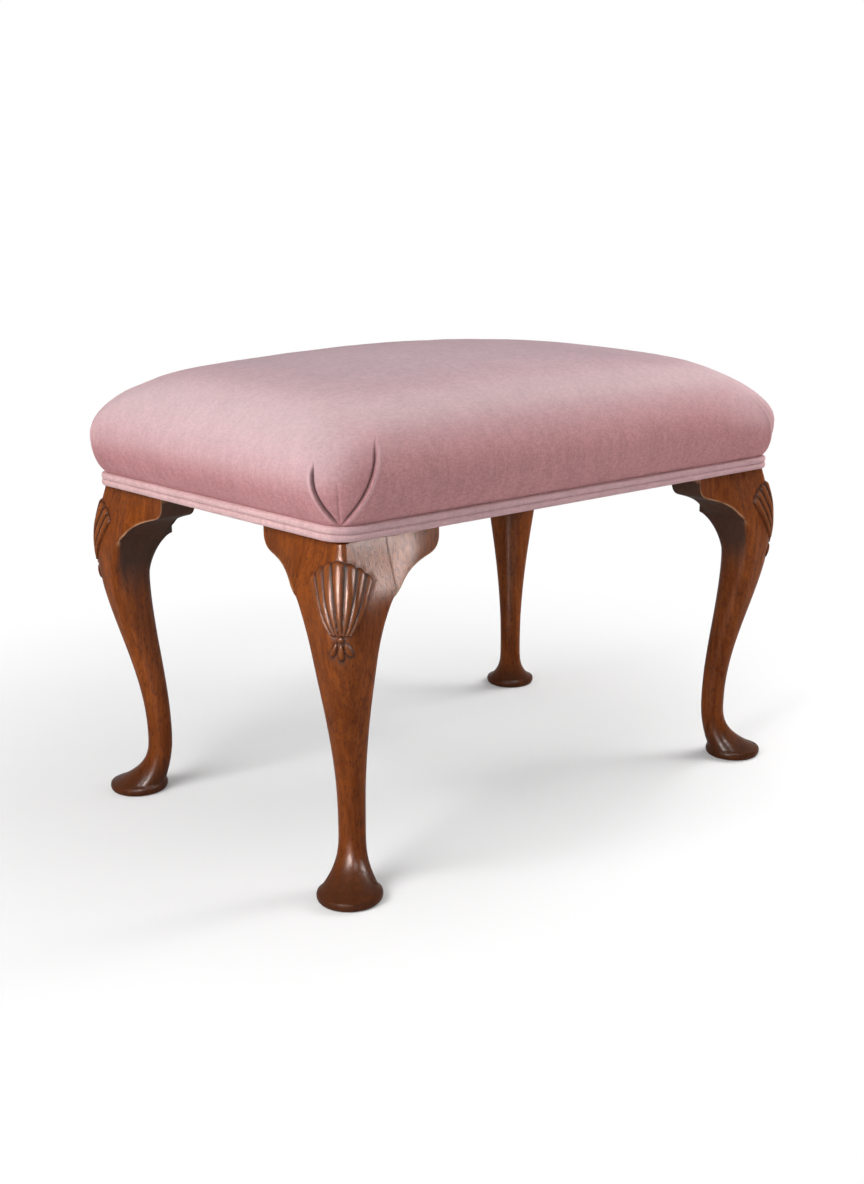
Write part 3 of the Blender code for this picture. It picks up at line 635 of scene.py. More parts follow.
def wood_figure():
    """Grain that runs along the third axis of its vector: broad stripes, clouds and short pores."""
    wood = Effect("wood_figure", "Scale", 1.0)
    spread = {0: wood.given["Vector"], "Scale": wood.given["Scale"]}
    vector = wood.add("VectorMath", spread, operation="SCALE")[0]
    stripe = wood.specks(vector, 240.0, 5.0, 0.62, 0.6, (1.0, 1.0, 0.055))
    cloud = wood.specks(vector, 26.0, 3.0, 0.5, 0.8, (1.0, 1.0, 0.35))
    dash = wood.specks(vector, 700.0, 2.0, 0.6, 0.0, (1.0, 1.0, 0.22))
    clump = wood.specks(vector, 210.0, 2.0, 0.5, 0.0, (1.0, 1.0, 0.2))
    pores = wood.math("ADD", dash, wood.math("MULTIPLY_ADD", clump, 0.22, -0.11))
    return wood.give(
        Stripe=wood.ramp(stripe, 0.3, 0.7),
        Cloud=wood.ramp(cloud, 0.28, 0.72),
        Pores=wood.ramp(pores, 0.55, 0.66),
    )


def rubbed_edge():
    """Where an edge is rubbed bright: its mark, broken up so that the wear comes and goes."""
    edge = Effect("rubbed_edge", "Mark")
    patch = edge.specks(edge.given["Vector"], 95.0, 3.0, 0.6)
    return edge.give(Wear=edge.times(edge.given["Mark"], edge.ramp(patch, 0.3, 0.6, 0.25, 1.0)))


def pile_nap():
    """Velvet pile: brushed streaks that run down the sides, soft mottling and single tufts."""
    pile = Effect("pile_nap")
    vector = pile.given["Vector"]
    streak = pile.specks(vector, 130.0, 4.0, 0.6, 0.3, (1.0, 1.0, 0.16))
    mottle = pile.specks(vector, 34.0, 4.0, 0.55, 0.4, (1.0, 1.0, 0.7))
    upright = pile.specks(vector, 540.0, 3.0, 0.7, 0.0, (1.0, 1.0, 0.35))
    level = pile.specks(vector, 540.0, 3.0, 0.7, 0.0, (0.35, 0.35, 1.0))
    tuft = pile.times(pile.math("ADD", upright, level), 0.5)
    return pile.give(
        Streak=pile.ramp(streak, 0.3, 0.7),
        Mottle=pile.ramp(mottle, 0.3, 0.7),
        Tuft=pile.ramp(tuft, 0.40, 0.60),
    )


def plain_weave():
    """Threads over and under each other: their height, and the gaps between them."""
    weave = Effect("plain_weave", "Threads", 800.0)
    vector = weave.given["Vector"]
    waves = []
    for along in list(weave.add("SeparateXYZ", {0: vector}))[:2]:
        turns = weave.times(along, weave.given["Threads"])
        waves.append(weave.math("ABSOLUTE", weave.math("SINE", weave.times(turns, math.pi))))
    lattice = weave.math("MAXIMUM", *waves)
    slub = weave.specks(vector, 320.0, 3.0, 0.6, 0.0, (0.15, 1.0, 1.0))
    return weave.give(
        Height=lattice,
        Gap=weave.ramp(lattice, 0.35, 0.6, 1.0, 0.0),
        Slub=weave.ramp(slub, 0.3, 0.7),
    )


def polished_mahogany(figure, rub):
    """Show wood: warm stripes, fine pores, dark carving and pads, rubbed arrises, and insides
    unpolished and darkened with painted shade.
    """
    wood = Finish("polished_mahogany", WOOD_PLAIN, 0.34)
    grain = wood.use(figure, Vector=wood.place, Scale=1.0)
    recess, inside = wood.mark("recess"), wood.mark("inside")
    height = wood.add("SeparateXYZ", {0: wood.place})[2]
    wear = wood.use(rub, Vector=wood.place, Mark=wood.mark("arris"))["Wear"]
    stripes = wood.mix(grain["Stripe"], *WOOD_STRIPES)
    colour = wood.layers(
        wood.mix(1.0, stripes, wood.mix(grain["Cloud"], *WOOD_CLOUDS), "MULTIPLY"),
        (grain["Pores"], 0.65, WOOD_PORES),
        (wood.ramp(height, 0.010, 0.052, 1.0, 0.0), 0.75, WOOD_FOOT),
        # Lighter on the carving's crests: worn wood and painted highlight
        (wood.mark("crest"), 0.35, WOOD_CREST),
        (recess, 0.9, WOOD_RECESS),
        # Insides under the frame: unpolished wood darkened with painted shade
        (inside, 0.85, WOOD_INSIDE_SHADED),
        (wear, 0.8, WOOD_RUBBED),
    )
    gloss = wood.ramp(grain["Cloud"], 0.0, 1.0, 0.27, 0.36)
    dull = wood.math("MAXIMUM", wood.times(inside, 0.3), wood.times(recess, 0.3))
    relief = wood.weighed((grain["Stripe"], 0.25), (grain["Pores"], -1.0))
    roughness = wood.math("ADD", gloss, dull)
    return wood.done(colour, roughness, relief, 0.28, 0.00022, Specular_IOR_Level=0.10)


def plain_wood(name, figure, along):
    """Rail wood left in the white, its grain turned along the piece."""
    wood = Finish(name, BEECH[1], 0.6)
    grain = wood.use(figure, Vector=wood.turned(wood.place, along), Scale=1.2)
    colour = wood.mix(grain["Stripe"], *BEECH)
    colour = wood.layers(colour, (grain["Pores"], 0.4, BEECH_PORES))
    roughness = wood.ramp(grain["Cloud"], 0.0, 1.0, 0.55, 0.7)
    return wood.done(colour, roughness, grain["Stripe"], 0.2, 0.0002)


def velvet(name, tones, nap):
    """Cut pile: deep at the roots, with painted shade in folds, painted light over the roll and
    painted sheen and shade that make it greyer on top.

    It is palest with painted light on the ends and along the upper edge, and with a painted
    highlight along the lip of a fold.
    """
    cloth = Finish(name, tones[1], 0.95)
    pile = cloth.use(nap, Vector=cloth.place)
    shade = cloth.weighed((pile["Streak"], 0.27), (pile["Mottle"], 0.22), (pile["Tuft"], 0.51))
    roll, lit_pile = (cloth.mix(shade, *pair) for pair in (ROSE_LIT_ROLL, ROSE_LIT_PILE))
    colour = cloth.layers(
        cloth.mix(shade, *tones),
        # Painted light: paler over the roll, palest on the lit ends and upper edge
        (cloth.mark("roll"), 1.0, cloth.mix(cloth.mark("lit_pile"), roll, lit_pile)),
        # Painted sheen and shade: greyer on the top
        (cloth.mark("top"), 1.0, cloth.mix(shade, *ROSE_TOP_SHEEN_SHADE)),
        # Painted highlight along the lip of a fold
        (cloth.mark("lip"), 0.5, ROSE_LIP_HIGHLIGHT),
        # Painted shade in folds, under the welt's cords and across the top
        (cloth.mark("fold"), 0.85, ROSE_FOLD_SHADE),
    )
    roughness = cloth.ramp(pile["Mottle"], 0.0, 1.0, 0.86, 1.0)
    relief = cloth.weighed((pile["Tuft"], 1.0), (pile["Streak"], 0.4))
    return cloth.done(
        colour, roughness, relief, 0.2, 0.0003, Specular_IOR_Level=0.12,
        Sheen_Weight=0.08, Sheen_Roughness=0.5, Sheen_Tint=ROSE_SHEEN,
    )


def woven(name, tones, weave, threads):
    """A plain cloth: jute webbing, hessian or the dust cover's cambric."""
    gap, thread = tones
    cloth = Finish(name, thread, 0.9)
    woof = cloth.use(weave, Vector=cloth.place, Threads=threads)
    paler = [min(value * 1.5, 1.0) for value in thread]
    colour = cloth.mix(woof["Slub"], thread, paler)
    colour = cloth.layers(colour, (woof["Gap"], 0.8, gap))
    roughness = cloth.ramp(woof["Slub"], 0.0, 1.0, 0.82, 0.97)
    return cloth.done(colour, roughness, woof["Height"], 0.5, 0.0005, Specular_IOR_Level=0.2)


def stuffing(name, tones, scale):
    """Foam or wadding: cells or fibres of about one size."""
    made = Finish(name, tones[1], 0.95)
    cells = made.specks(made.place, scale, 4.0, 0.65)
    colour = made.mix(made.ramp(cells, 0.35, 0.65), *tones)
    roughness = made.ramp(cells, 0.3, 0.7, 0.85, 1.0)
    return made.done(colour, roughness, cells, 0.6, 0.0012)


def zinc_steel():
    made = Finish("zinc_steel", ZINC_PLAIN, 0.38)
    bloom = made.specks(made.place, 900.0, 4.0, 0.6)
    colour = made.mix(made.ramp(bloom, 0.35, 0.65), *ZINC)
    roughness = made.ramp(bloom, 0.3, 0.7, 0.3, 0.5)
    return made.done(colour, roughness, bloom, 0.15, 0.0001, Metallic=1.0)


# Leg


def leg_outer(height):
    knee = LEG_HEIGHT - KNEE_DROP
    if height >= LEG_HEIGHT:
        return FOOT_INSET
    if height >= knee:
        share = (LEG_HEIGHT - height) / KNEE_DROP
        return FOOT_INSET + KNEE_SWELL * math.sin(math.pi / 2 * share) ** KNEE_FULLNESS
    if height >= ANKLE_LEVEL:
        share = (knee - height) / (knee - ANKLE_LEVEL)
        return blend(FOOT_INSET + KNEE_SWELL, ANKLE_OUTER, share**SHIN_LEAN)
    share = (ANKLE_LEVEL - height) / (ANKLE_LEVEL - PAD_THICKNESS)
    return ANKLE_OUTER + (INSTEP_OUTER - ANKLE_OUTER) * share**INSTEP_SWEEP


def leg_inner(height):
    base = LEG_HEIGHT - BLOCK_DROP
    hollow = LEG_HEIGHT - HOLLOW_DROP
    if height >= base:
        return POST_SIDE
    if height >= hollow:
        share = (height - hollow) / (base - hollow)
        return HOLLOW_INNER + (POST_SIDE - HOLLOW_INNER) * share**HOLLOW_FLARE
    if height >= ANKLE_LEVEL:
        return blend(HOLLOW_INNER, ANKLE_INNER, (hollow - height) / (hollow - ANKLE_LEVEL))
    return blend(ANKLE_INNER, HEEL_INNER, (ANKLE_LEVEL - height) / (ANKLE_LEVEL - PAD_THICKNESS))


def leg_section(height):
    """Outer and inner face and the rounding of the front, side and inner corners at a height."""
    outer = leg_outer(height)
    inner = leg_inner(height)
    half = (outer + inner) / 2
    drop = LEG_HEIGHT - height
    if drop <= 0.0:
        return outer, inner, POST_EDGE, 0.0, 0.0
    edge = blend(HEAD_EDGE / (POST_SIZE / 2), 1.0, drop / ROUNDING_DROP)
    below = LEG_HEIGHT - BLOCK_DROP - height
    side = clamp(below / SHIN_SQUARE) ** SIDE_EASE
    inside = clamp(below / (ROUNDING_DROP - BLOCK_DROP)) ** INSIDE_EASE
    return outer, inner, half * edge, half * side, half * inside


def leg_rows():
    """Every section of the leg from the top of its post down to the sole, with its height."""
    head = LEG_HEIGHT - HEAD_STEP
    heights = [RAIL_TOP, LEG_HEIGHT, head]
    heights += [head - HEAD_PITCH * step for step in range(1, HEAD_ROWS + 1)]
    start = LEG_HEIGHT - heights[-1]
    carved = CARVED_DROP - start
    for step in range(1, CARVED_ROWS + 1):
        heights.append(LEG_HEIGHT - start - carved * step / CARVED_ROWS)
    low = LEG_HEIGHT - CARVED_DROP
    shin = ANKLE_LEVEL - low
    heights += [low + shin * step / SHIN_ROWS for step in range(1, SHIN_ROWS + 1)]
    for step in range(1, FOOT_ROWS + 1):
        left = (1.0 - step / FOOT_ROWS) ** FOOT_CROWDING
        heights.append(PAD_THICKNESS + (ANKLE_LEVEL - PAD_THICKNESS) * left)
    rows = [(height, leg_section(height)) for height in heights]
    for step in range(1, PAD_ROWS + 1):
        turn = math.radians(PAD_TURN * (1.0 - step / PAD_ROWS))
        radius = PAD_RADIUS - PAD_ROUND * (1.0 - math.sin(turn))
        rows.append((PAD_THICKNESS / 2 * (1.0 - math.cos(turn)), (radius,) * 5))
    return rows


def half_way(section):
    """Lengths of the stretches from the front corner round to the inner one."""
    outer, inner, edge, side, inside = section
    width = outer + inner
    eighth = math.pi / 4
    faces = (width - edge - side, width - side - inside)
    return edge * eighth, faces[0], side * 2 * eighth, faces[1], inside * eighth


def walk(section, distance):
    """Point, facing, stretch and share of it at a distance from the leg's front corner."""
    outer, inner, edge, side, inside = section
    lengths = half_way(section)
    stretch = 0
    while stretch < 4 and distance > lengths[stretch]:
        distance -= lengths[stretch]
        stretch += 1
    share = clamp(distance / lengths[stretch]) if lengths[stretch] > 0.0 else 0.0
    if stretch == 1:
        return (-outer + edge + distance, -outer), (0.0, -1.0), stretch, share
    if stretch == 3:
        return (inner, -outer + side + distance), (1.0, 0.0), stretch, share
    x, y, radius, start, sweep = {
        0: (-outer + edge, -outer + edge, edge, 225, 45),
        2: (inner - side, -outer + side, side, 270, 90),
        4: (inner - inside, inner - inside, inside, 0, 45),
    }[stretch]
    turn = math.radians(start + sweep * share)
    facing = (math.cos(turn), math.sin(turn))
    return (x + radius * facing[0], y + radius * facing[1]), facing, stretch, share


def shell_relief(across, drop):
    """The carving's rise at a place on the knee, and how much the place is groove or crest."""
    above = SHELL_BASE - drop
    width = SHELL_FOOT_WIDTH + SHELL_SPREAD * (max(above, 0.0) / SHELL_SPREAD_DROP) ** SHELL_FLARE
    fan = (across + SHELL_LEAN * clamp(above / SHELL_LEAN_DROP)) / width
    rib = fan * SHELL_RIBS / 2
    outermost = SHELL_RIBS // 2
    off = min(abs(rib - clamp(round(rib), -outermost, outermost)) * 2, 1.0)
    shoulder = SHELL_SHOULDER * min(abs(fan), 1.2) ** 1.4
    below_top = drop - (SHELL_TOP + shoulder + TOP_SCALLOP * off**2)
    from_side = (1.0 - abs(fan)) * width
    above_base = SHELL_BASE - BASE_SCALLOP * off**2 - drop
    within = min(below_top, from_side, above_base)
    rise = -GROUND_SINK * bell(min(within, 0.0), GROUND_REACH)
    recess = CUT_SHADE * bell(within + CUT_OUTSIDE, CUT_WIDTH)
    crest = 0.0
    if within > 0.0:
        nose = math.sqrt(1.0 - (1.0 - clamp(below_top / SHELL_NOSE)) ** 2)
        body = nose * (ease(0.0, SIDE_ROUND, from_side) * ease(0.0, BASE_ROUND, above_base))
        fullness = min(width / SHELL_FULL_WIDTH, 1.0) ** 0.6
        shell = (SHELL_RISE + RIB_RISE * (1.0 - off**2.3) * fullness) * body
        rise = shell - GROUND_SINK * (1.0 - body)
        groove = ease(0.58, 0.88, off) * (1.0 if abs(rib) < SHELL_RIBS / 2 - 0.2 else 0.3)
        recess = max(recess * (1.0 - nose * 0.6), groove)
        # Crest mark: worn wood and painted highlight on the ribs
        crest = (1.0 - ease(0.15, 0.7, off)) * body
    for middle, level, wide, long, tilt, high in PETALS:
        side = across - middle
        down = drop - level
        along = down * math.cos(tilt) + side * math.sin(tilt)
        beside = side * math.cos(tilt) - down * math.sin(tilt)
        taper = 0.78 + 0.26 * clamp(along / long, -1.0, 1.0)
        reach = math.hypot(beside / (wide * taper), along / long)
        if reach < 1.0:
            bud = high * math.sqrt(1.0 - reach**2)
            if bud > rise:
                rise = bud
                crest = 1.0 - reach
                recess = ease(0.72, 1.0, reach)
        else:
            outside = (reach - 1.0) * wide
            recess = max(recess, PETAL_SHADE * bell(outside, PETAL_CUT))
            if rise <= 0.0:
                rise = min(rise, -GROUND_SINK * bell(outside, PETAL_GROUND))
    return rise, clamp(recess), clamp(crest)


def leg_mesh(surface):
    rows = leg_rows()
    half = sum(LEG_COLUMNS)
    places = []
    for stretch, count in enumerate(LEG_COLUMNS):
        places += [(stretch, step / count) for step in range(count)]
    places.append((4, 1.0))

    def place(column, row):
        number = column - half
        height, section = rows[row]
        lengths = half_way(section)
        stretch, share = places[abs(number)]
        crowded = share**FACE_CROWDING if stretch == 1 else share
        aligned = sum(lengths[:stretch]) + lengths[stretch] * crowded
        evenness = ease(ALIGNED_ABOVE, EVEN_BELOW, height)
        distance = aligned + (sum(lengths) * abs(number) / half - aligned) * evenness
        (x, y), (out_x, out_y), stretch, share = walk(section, distance)
        drop = LEG_HEIGHT - height
        rise, recess, crest, arris, inside = (0.0,) * 5
        if CARVED_BAND[0] < drop < CARVED_BAND[1] and distance < CARVED_REACH:
            rise, recess, crest = shell_relief(math.copysign(distance, number), drop)
        if height > PAD_THICKNESS and drop > 0.0:
            # Inner faces under the frame: unpolished wood darkened with painted shade
            unpolished_and_shaded = 1.0 if stretch > 2 else 0.0
            if stretch == 2:
                arris = (1.0 - abs(2 * share - 1.0)) * ease(WORN_ARRIS, LOST_ARRIS, section[3])
                unpolished_and_shaded = ease(0.55, 0.85, share)
            inside = unpolished_and_shaded * ease(*UNPOLISHED_AND_SHADED_INSIDE, height)
        x += out_x * rise
        y += out_y * rise
        if number < 0:
            x, y = y, x
        return Vector((x, y, height)), (recess, crest, arris, inside)

    bm = skin(2 * half, len(rows), place, ("recess", "crest", "arris", "inside"))
    length, thickness, shoulder = TENON
    middle = RAIL_THICKNESS / 2 - FOOT_INSET
    half_mortise = thickness / 2 + JOINT_GAP
    low = (POST_SIDE - length, middle - half_mortise)
    high = (POST_SIDE + JOINT_GAP, middle + half_mortise)
    bottom = LEG_HEIGHT + shoulder - JOINT_GAP
    top = RAIL_TOP - shoulder + JOINT_GAP
    mortises = [block((*low[::way], bottom), (*high[::way], top)) for way in (1, -1)]
    return hollow_out(to_mesh(bm, "carved_leg", surface), mortises)


# Knee blocks


def ear_outline():
    """The block's lower edge from its end to the leg: distance from the leg and drop."""
    end = Vector((EAR_REACH, EAR_END))
    turn = Vector((EAR_REACH - EAR_NOSE, EAR_DROP))
    tip = Vector((TIP_WIDTH, BLOCK_DROP - TIP_RISE))
    leg = Vector((BLOCK_SEAM, BLOCK_DROP))
    down = Vector((0.0, 1.0))
    inward = Vector((-math.cos(EAR_SLOPE), math.sin(EAR_SLOPE)))
    steeper = Vector((-math.cos(TIP_SLOPE), math.sin(TIP_SLOPE)))
    nose = (end, end + down * NOSE_PULLS[0], turn - inward * NOSE_PULLS[1], turn)
    cavetto = (turn, turn + inward * CAVETTO_PULLS[0], tip - steeper * CAVETTO_PULLS[1], tip)
    points = [bezier(nose, step / 10) for step in range(10)]
    points += [bezier(cavetto, step / 24) for step in range(25)]
    points += [tip.lerp(leg, share) for share in (0.33, 0.66, 1.0)]
    return points


def block_mesh(surface, mirrored):
    """A knee block: its swelling face, its shaped underside, its back and its joint to the leg."""
    outline = ear_outline()
    top = LEG_HEIGHT - JOINT_GAP

    def face_at(along, height):
        swell = leg_outer(height) - FOOT_INSET
        return -FOOT_INSET - swell * blend(1.0, 0.0, along / EAR_REACH)

    def place(column, row):
        along, drop = outline[row]
        bottom = LEG_HEIGHT - drop
        share = 0.0
        if column < BLOCK_ROWS:
            height = top + (bottom - top) * column / (BLOCK_ROWS - 1)
            across = face_at(along, height)
        else:
            share = UNDERSIDE[min(column - BLOCK_ROWS, len(UNDERSIDE) - 1)]
            height = bottom if column < BLOCK_ROWS + len(UNDERSIDE) else top
            front = face_at(along, bottom)
            across = front + (BLOCK_THICKNESS - FOOT_INSET - front) * share
        point = (POST_SIDE + along, across)
        seam = row == len(outline) - 1 or height == top or share == 1.0
        # The block's underside and back: unpolished wood darkened with painted shade
        inside = float(column >= BLOCK_ROWS)
        return Vector((*point[::-1 if mirrored else 1], height)), (inside, 0.0, 0.0, float(seam))

    marks = ("inside", "arris", "recess", "seam")
    bm = skin(BLOCK_ROWS + len(UNDERSIDE) + 1, len(outline), place, marks)
    face_outwards(bm)
    seam = bm.verts.layers.float["seam"]

    def crisp_edges(angle):
        edges = [edge for edge in bm.edges if edge.is_manifold]
        return [edge for edge in edges if edge.calc_face_angle() > math.radians(angle)]

    def mark_eased(edges, offset, mark, value):
        eased = ease_edges(bm, edges, offset, 3, clamp_overlap=True)
        layer = bm.verts.layers.float[mark]
        for vert in eased:
            vert[layer] = value

    shown = [edge for edge in crisp_edges(38) if min(vert[seam] for vert in edge.verts) <= 0.5]
    mark_eased(shown, ARRIS, "arris", 1.0)
    mark_eased(crisp_edges(60), SEAM_EASING, "recess", 0.2)
    return to_mesh(bm, "knee_block", surface, 50.0)


# Seat cover


def roll_power(spoke):
    """How square the shoulder is here: each corner's stuffing has its own fullness."""
    corner, _, zone, share = spoke
    if zone < 2:
        return ROLL_POWER + SHOULDERS[corner]
    near = SHOULDERS[corner] * ease(0.45, 0.0, share)
    far = SHOULDERS[(corner + 1) % 4] * ease(0.55, 1.0, share)
    return ROLL_POWER + near + far


def roll_rise(inward, power):
    """Height of the roll above the bulge, at a distance in from the bulge."""
    left = 1.0 - clamp(inward / ROLL_WIDTH)
    return ROLL_RISE * (1.0 - left**power) ** (1 / power)


def seat_profile(step, power):
    """Outset from the frame and height: -1 bottom edge, 0 tuck, 1 bulge, 2 roll's top, 3 middle."""
    if step <= 0.0:
        return COVER_OUT, TUCK_LEVEL + (TUCK_LEVEL - COVER_BOTTOM) * step
    if step <= 1.0:
        swell = math.sin(math.pi / 2 * step) ** SWELL_POWER
        height = TUCK_LEVEL + (BULGE_LEVEL - TUCK_LEVEL) * step
        return COVER_OUT + (BULGE_OUT - COVER_OUT) * swell, height
    if step <= 2.0:
        turn = math.pi / 2 * (step - 1.0)
        inward = ROLL_WIDTH * (1.0 - max(math.cos(turn), 0.0) ** (2 / power))
    else:
        inward = ROLL_WIDTH + (FRAME_DEPTH / 2 + BULGE_OUT - ROLL_WIDTH) * (step - 2.0)
    softness = ROLL_SOFTNESS * ease(0.006, 0.045, inward)
    rise = sum(
        weight / 16 * roll_rise(inward + softness * offset, power)
        for offset, weight in ((-2, 1), (-1, 4), (0, 6), (1, 4), (2, 1))
    )
    return BULGE_OUT - inward, BULGE_LEVEL + rise


def seat_normal(step, power):
    if step <= 0.0:
        return 1.0, 0.0
    if step >= 2.9:
        return 0.0, 1.0
    reach = min(0.01, step / 2)
    before = Vector(seat_profile(step - reach, power))
    after = Vector(seat_profile(step + reach, power))
    along = (after - before).normalized()
    return along.y, -along.x


def seat_spokes():
    """Every spoke round the seat: corner, side of it, zone and share.

    Zone 0 runs from a fold to the corner's middle, 1 from the fold out to the end of the
    rounding, 2 along the side to the next corner, and 3 right round a corner without folds.
    """
    spokes = []
    for corner in range(4):
        spokes += [(corner, -1, 1, share) for share in reversed(OUTSIDE_FOLD)]
        spokes += [(corner, -1, 0, share) for share in (0.0, *INSIDE_FOLD, 1.0)]
        spokes += [(corner, 1, 0, share) for share in reversed((0.0, *INSIDE_FOLD))]
        spokes += [(corner, 1, 1, share) for share in OUTSIDE_FOLD]
        count = SIDE_SPOKES[corner % 2] + 1
        spokes += [(corner, 1, 2, index / count) for index in range(1, count)]
    return spokes


def plain_spokes(arc, sides):
    """Spokes round corners without folds, with so many to each half of a corner and each side."""
    spokes = []
    for corner in range(4):
        spokes += [(corner, -1, 3, 1.0 - step / arc) for step in range(arc)]
        spokes += [(corner, 1, 3, step / arc) for step in range(arc)]
        count = sides[corner % 2]
        spokes += [(corner, 1, 2, step / count) for step in range(count)]
    return spokes


def fold_of(corner, sign):
    """The fold on the long side runs further up and out than the one on the short side."""
    return LONG_FOLD if (sign > 0) == (corner % 2 == 0) else SHORT_FOLD


def ring_place(spoke, outset, height, radius):
    """A place on a ring round the seat, at an outset from the frame with corners of a radius.

    Gives the point, its facing in plan, its distances inside the fold and from the corner's
    middle, the fold's own distance from there, and the turn round the corner from -1 to 1.
    """
    corner, sign, zone, share = spoke
    halves = (FRAME_LENGTH / 2 + outset, FRAME_DEPTH / 2 + outset)
    radius = min(radius, *halves)
    reach, rise, _, _ = fold_of(corner, sign)
    limit = math.pi / 4 * radius
    climb = clamp((height - TUCK_LEVEL) / rise, 0.0, 1.22)
    fold = clamp(reach * math.sin(math.pi / 2 * climb), 0.0005, limit * 0.93)
    if zone == 0:
        across = fold * (1.0 - share)
    elif zone == 3:
        across = limit * share
    else:
        across = fold + (limit - fold) * (share if zone == 1 else 1.0)
    inside = fold - across

    def on_corner(number, turn):
        angle = math.pi / 4 + math.pi / 2 * number + turn
        facing = Vector((math.cos(angle), math.sin(angle), 0.0))
        centre = [way * (half - radius) for way, half in zip(SPOKE_SIGNS[number], halves)]
        return Vector((*centre, 0.0)) + radius * facing, facing

    point, facing = on_corner(corner, sign * across / radius if radius > 0.0 else 0.0)
    if zone == 2:
        other, _ = on_corner((corner + 1) % 4, -math.pi / 4)
        inside -= (other - point).length * min(share, 1.0 - share)
        point = point.lerp(other, share)
    point.z = height
    return point, facing, inside, across, fold, sign * across / limit if limit > 0.0 else 0.0


def pleat(spoke, height, inside, across, fold):
    """How far the cloth is drawn in at a pleat, with its painted fold shade and lip highlight."""
    corner, sign, zone, _ = spoke
    _, _, fade_from, fade_to = fold_of(corner, sign)
    rising = ease(*FOLD_START, height) * min(1.0, 0.35 + fold / FOLD_FULL)
    open_share = rising * (1.0 - ease(fade_from, fade_to, height))
    groove = FOLD_DEPTH * open_share
    wedge = WEDGE_SINK * rising * (1.0 - ease(*WEDGE_FADE, height))
    lip = FOLD_LIP * rising * (1.0 - ease(fade_from, fade_to + LIP_FADE, height))
    # Painted shade: dark along the crease, and a little over the sunken wedge
    dark = bell(inside - 0.0004, FOLD_CREASE)
    if inside >= 0.0:
        away = math.exp(-max(inside - FOLD_CREASE, 0.0) / FOLD_SLOPE)
        behind = ease(0.0, FOLD_CREASE, inside)
        sunk = (wedge + groove * away) * (FOLD_EDGE + (1.0 - FOLD_EDGE) * behind)
        sunk -= 0.4 * wedge * clamp(inside / max(fold, 0.001))
        dark = max(dark, FOLD_SHADE * clamp(inside / FOLD_SHADE_RUN))
    else:
        sunk = (wedge + groove) * FOLD_EDGE * ease(-FOLD_ROUND, 0.0, inside) ** 1.4
        sunk -= lip * bell(inside + LIP_RIDGE[0], LIP_RIDGE[1])
    if zone == 0:
        ends = ease(CREASE_TOP, CREASE_TOP - CREASE_FADE, height)
        ends *= ease(TUCK_LEVEL, TUCK_LEVEL + CREASE_START, height)
        sunk += CREASE_DEPTH * bell(across, CREASE_WIDTH) * ends
    # Painted highlight along the outer lip of the fold
    lip_highlight = bell(inside + LIP_HIGHLIGHT[0], LIP_HIGHLIGHT[1])
    return sunk, (dark * open_share, lip_highlight * open_share)


def seat_place(spoke, step, depth, pleated=True, swelling=None):
    """A point of the seat at a depth under the cover's face, and its marks for fold and lip."""
    power = roll_power(spoke)
    outset, height = seat_profile(step, power)
    out, up = seat_normal(step, power)
    swell = min((outset - COVER_OUT) / (BULGE_OUT - COVER_OUT), 1.0) if step < 1.0 else 1.0
    radius = POST_EDGE + COVER_OUT + (BULGE_CORNER - POST_EDGE - COVER_OUT) * swell - depth * out
    radius += (TOP_CORNER - BULGE_CORNER) * ease(1.1, 2.1, step)
    ring = ring_place(spoke, outset - depth * out, height - depth * up, radius)
    point, facing, inside, across, fold, turn = ring
    sunk, marks = 0.0, (0.0, 0.0)
    if pleated and step < 2.0:
        sunk, marks = pleat(spoke, height, inside, across, fold)
    if step > 1.0:
        along = point.x / (FRAME_LENGTH / 2 + BULGE_OUT)
        aside = point.y / (FRAME_DEPTH / 2 + BULGE_OUT)
        point.z += CROWN * (1 - along**2) * (1 - aside**2) * blend(0.0, 1.0, step - 1.0)
    if pleated:
        loose = ease(TUCK_LEVEL, TUCK_LEVEL + 0.02, height)
        sunk -= loose * sum(high * noise.noise(point * scale) for scale, high in SLACK)
    if swelling:
        point += swelling(spoke, turn, step)
    point -= sunk * (facing * out + Vector((0.0, 0.0, up)))
    return point, marks


def end_share(point):
    """One on the two short ends of the seat, none on its long sides."""
    from_end = FRAME_LENGTH / 2 + BULGE_OUT - abs(point.x)
    from_side = FRAME_DEPTH / 2 + BULGE_OUT - abs(point.y)
    return ease(*END_TURN, from_side - from_end)


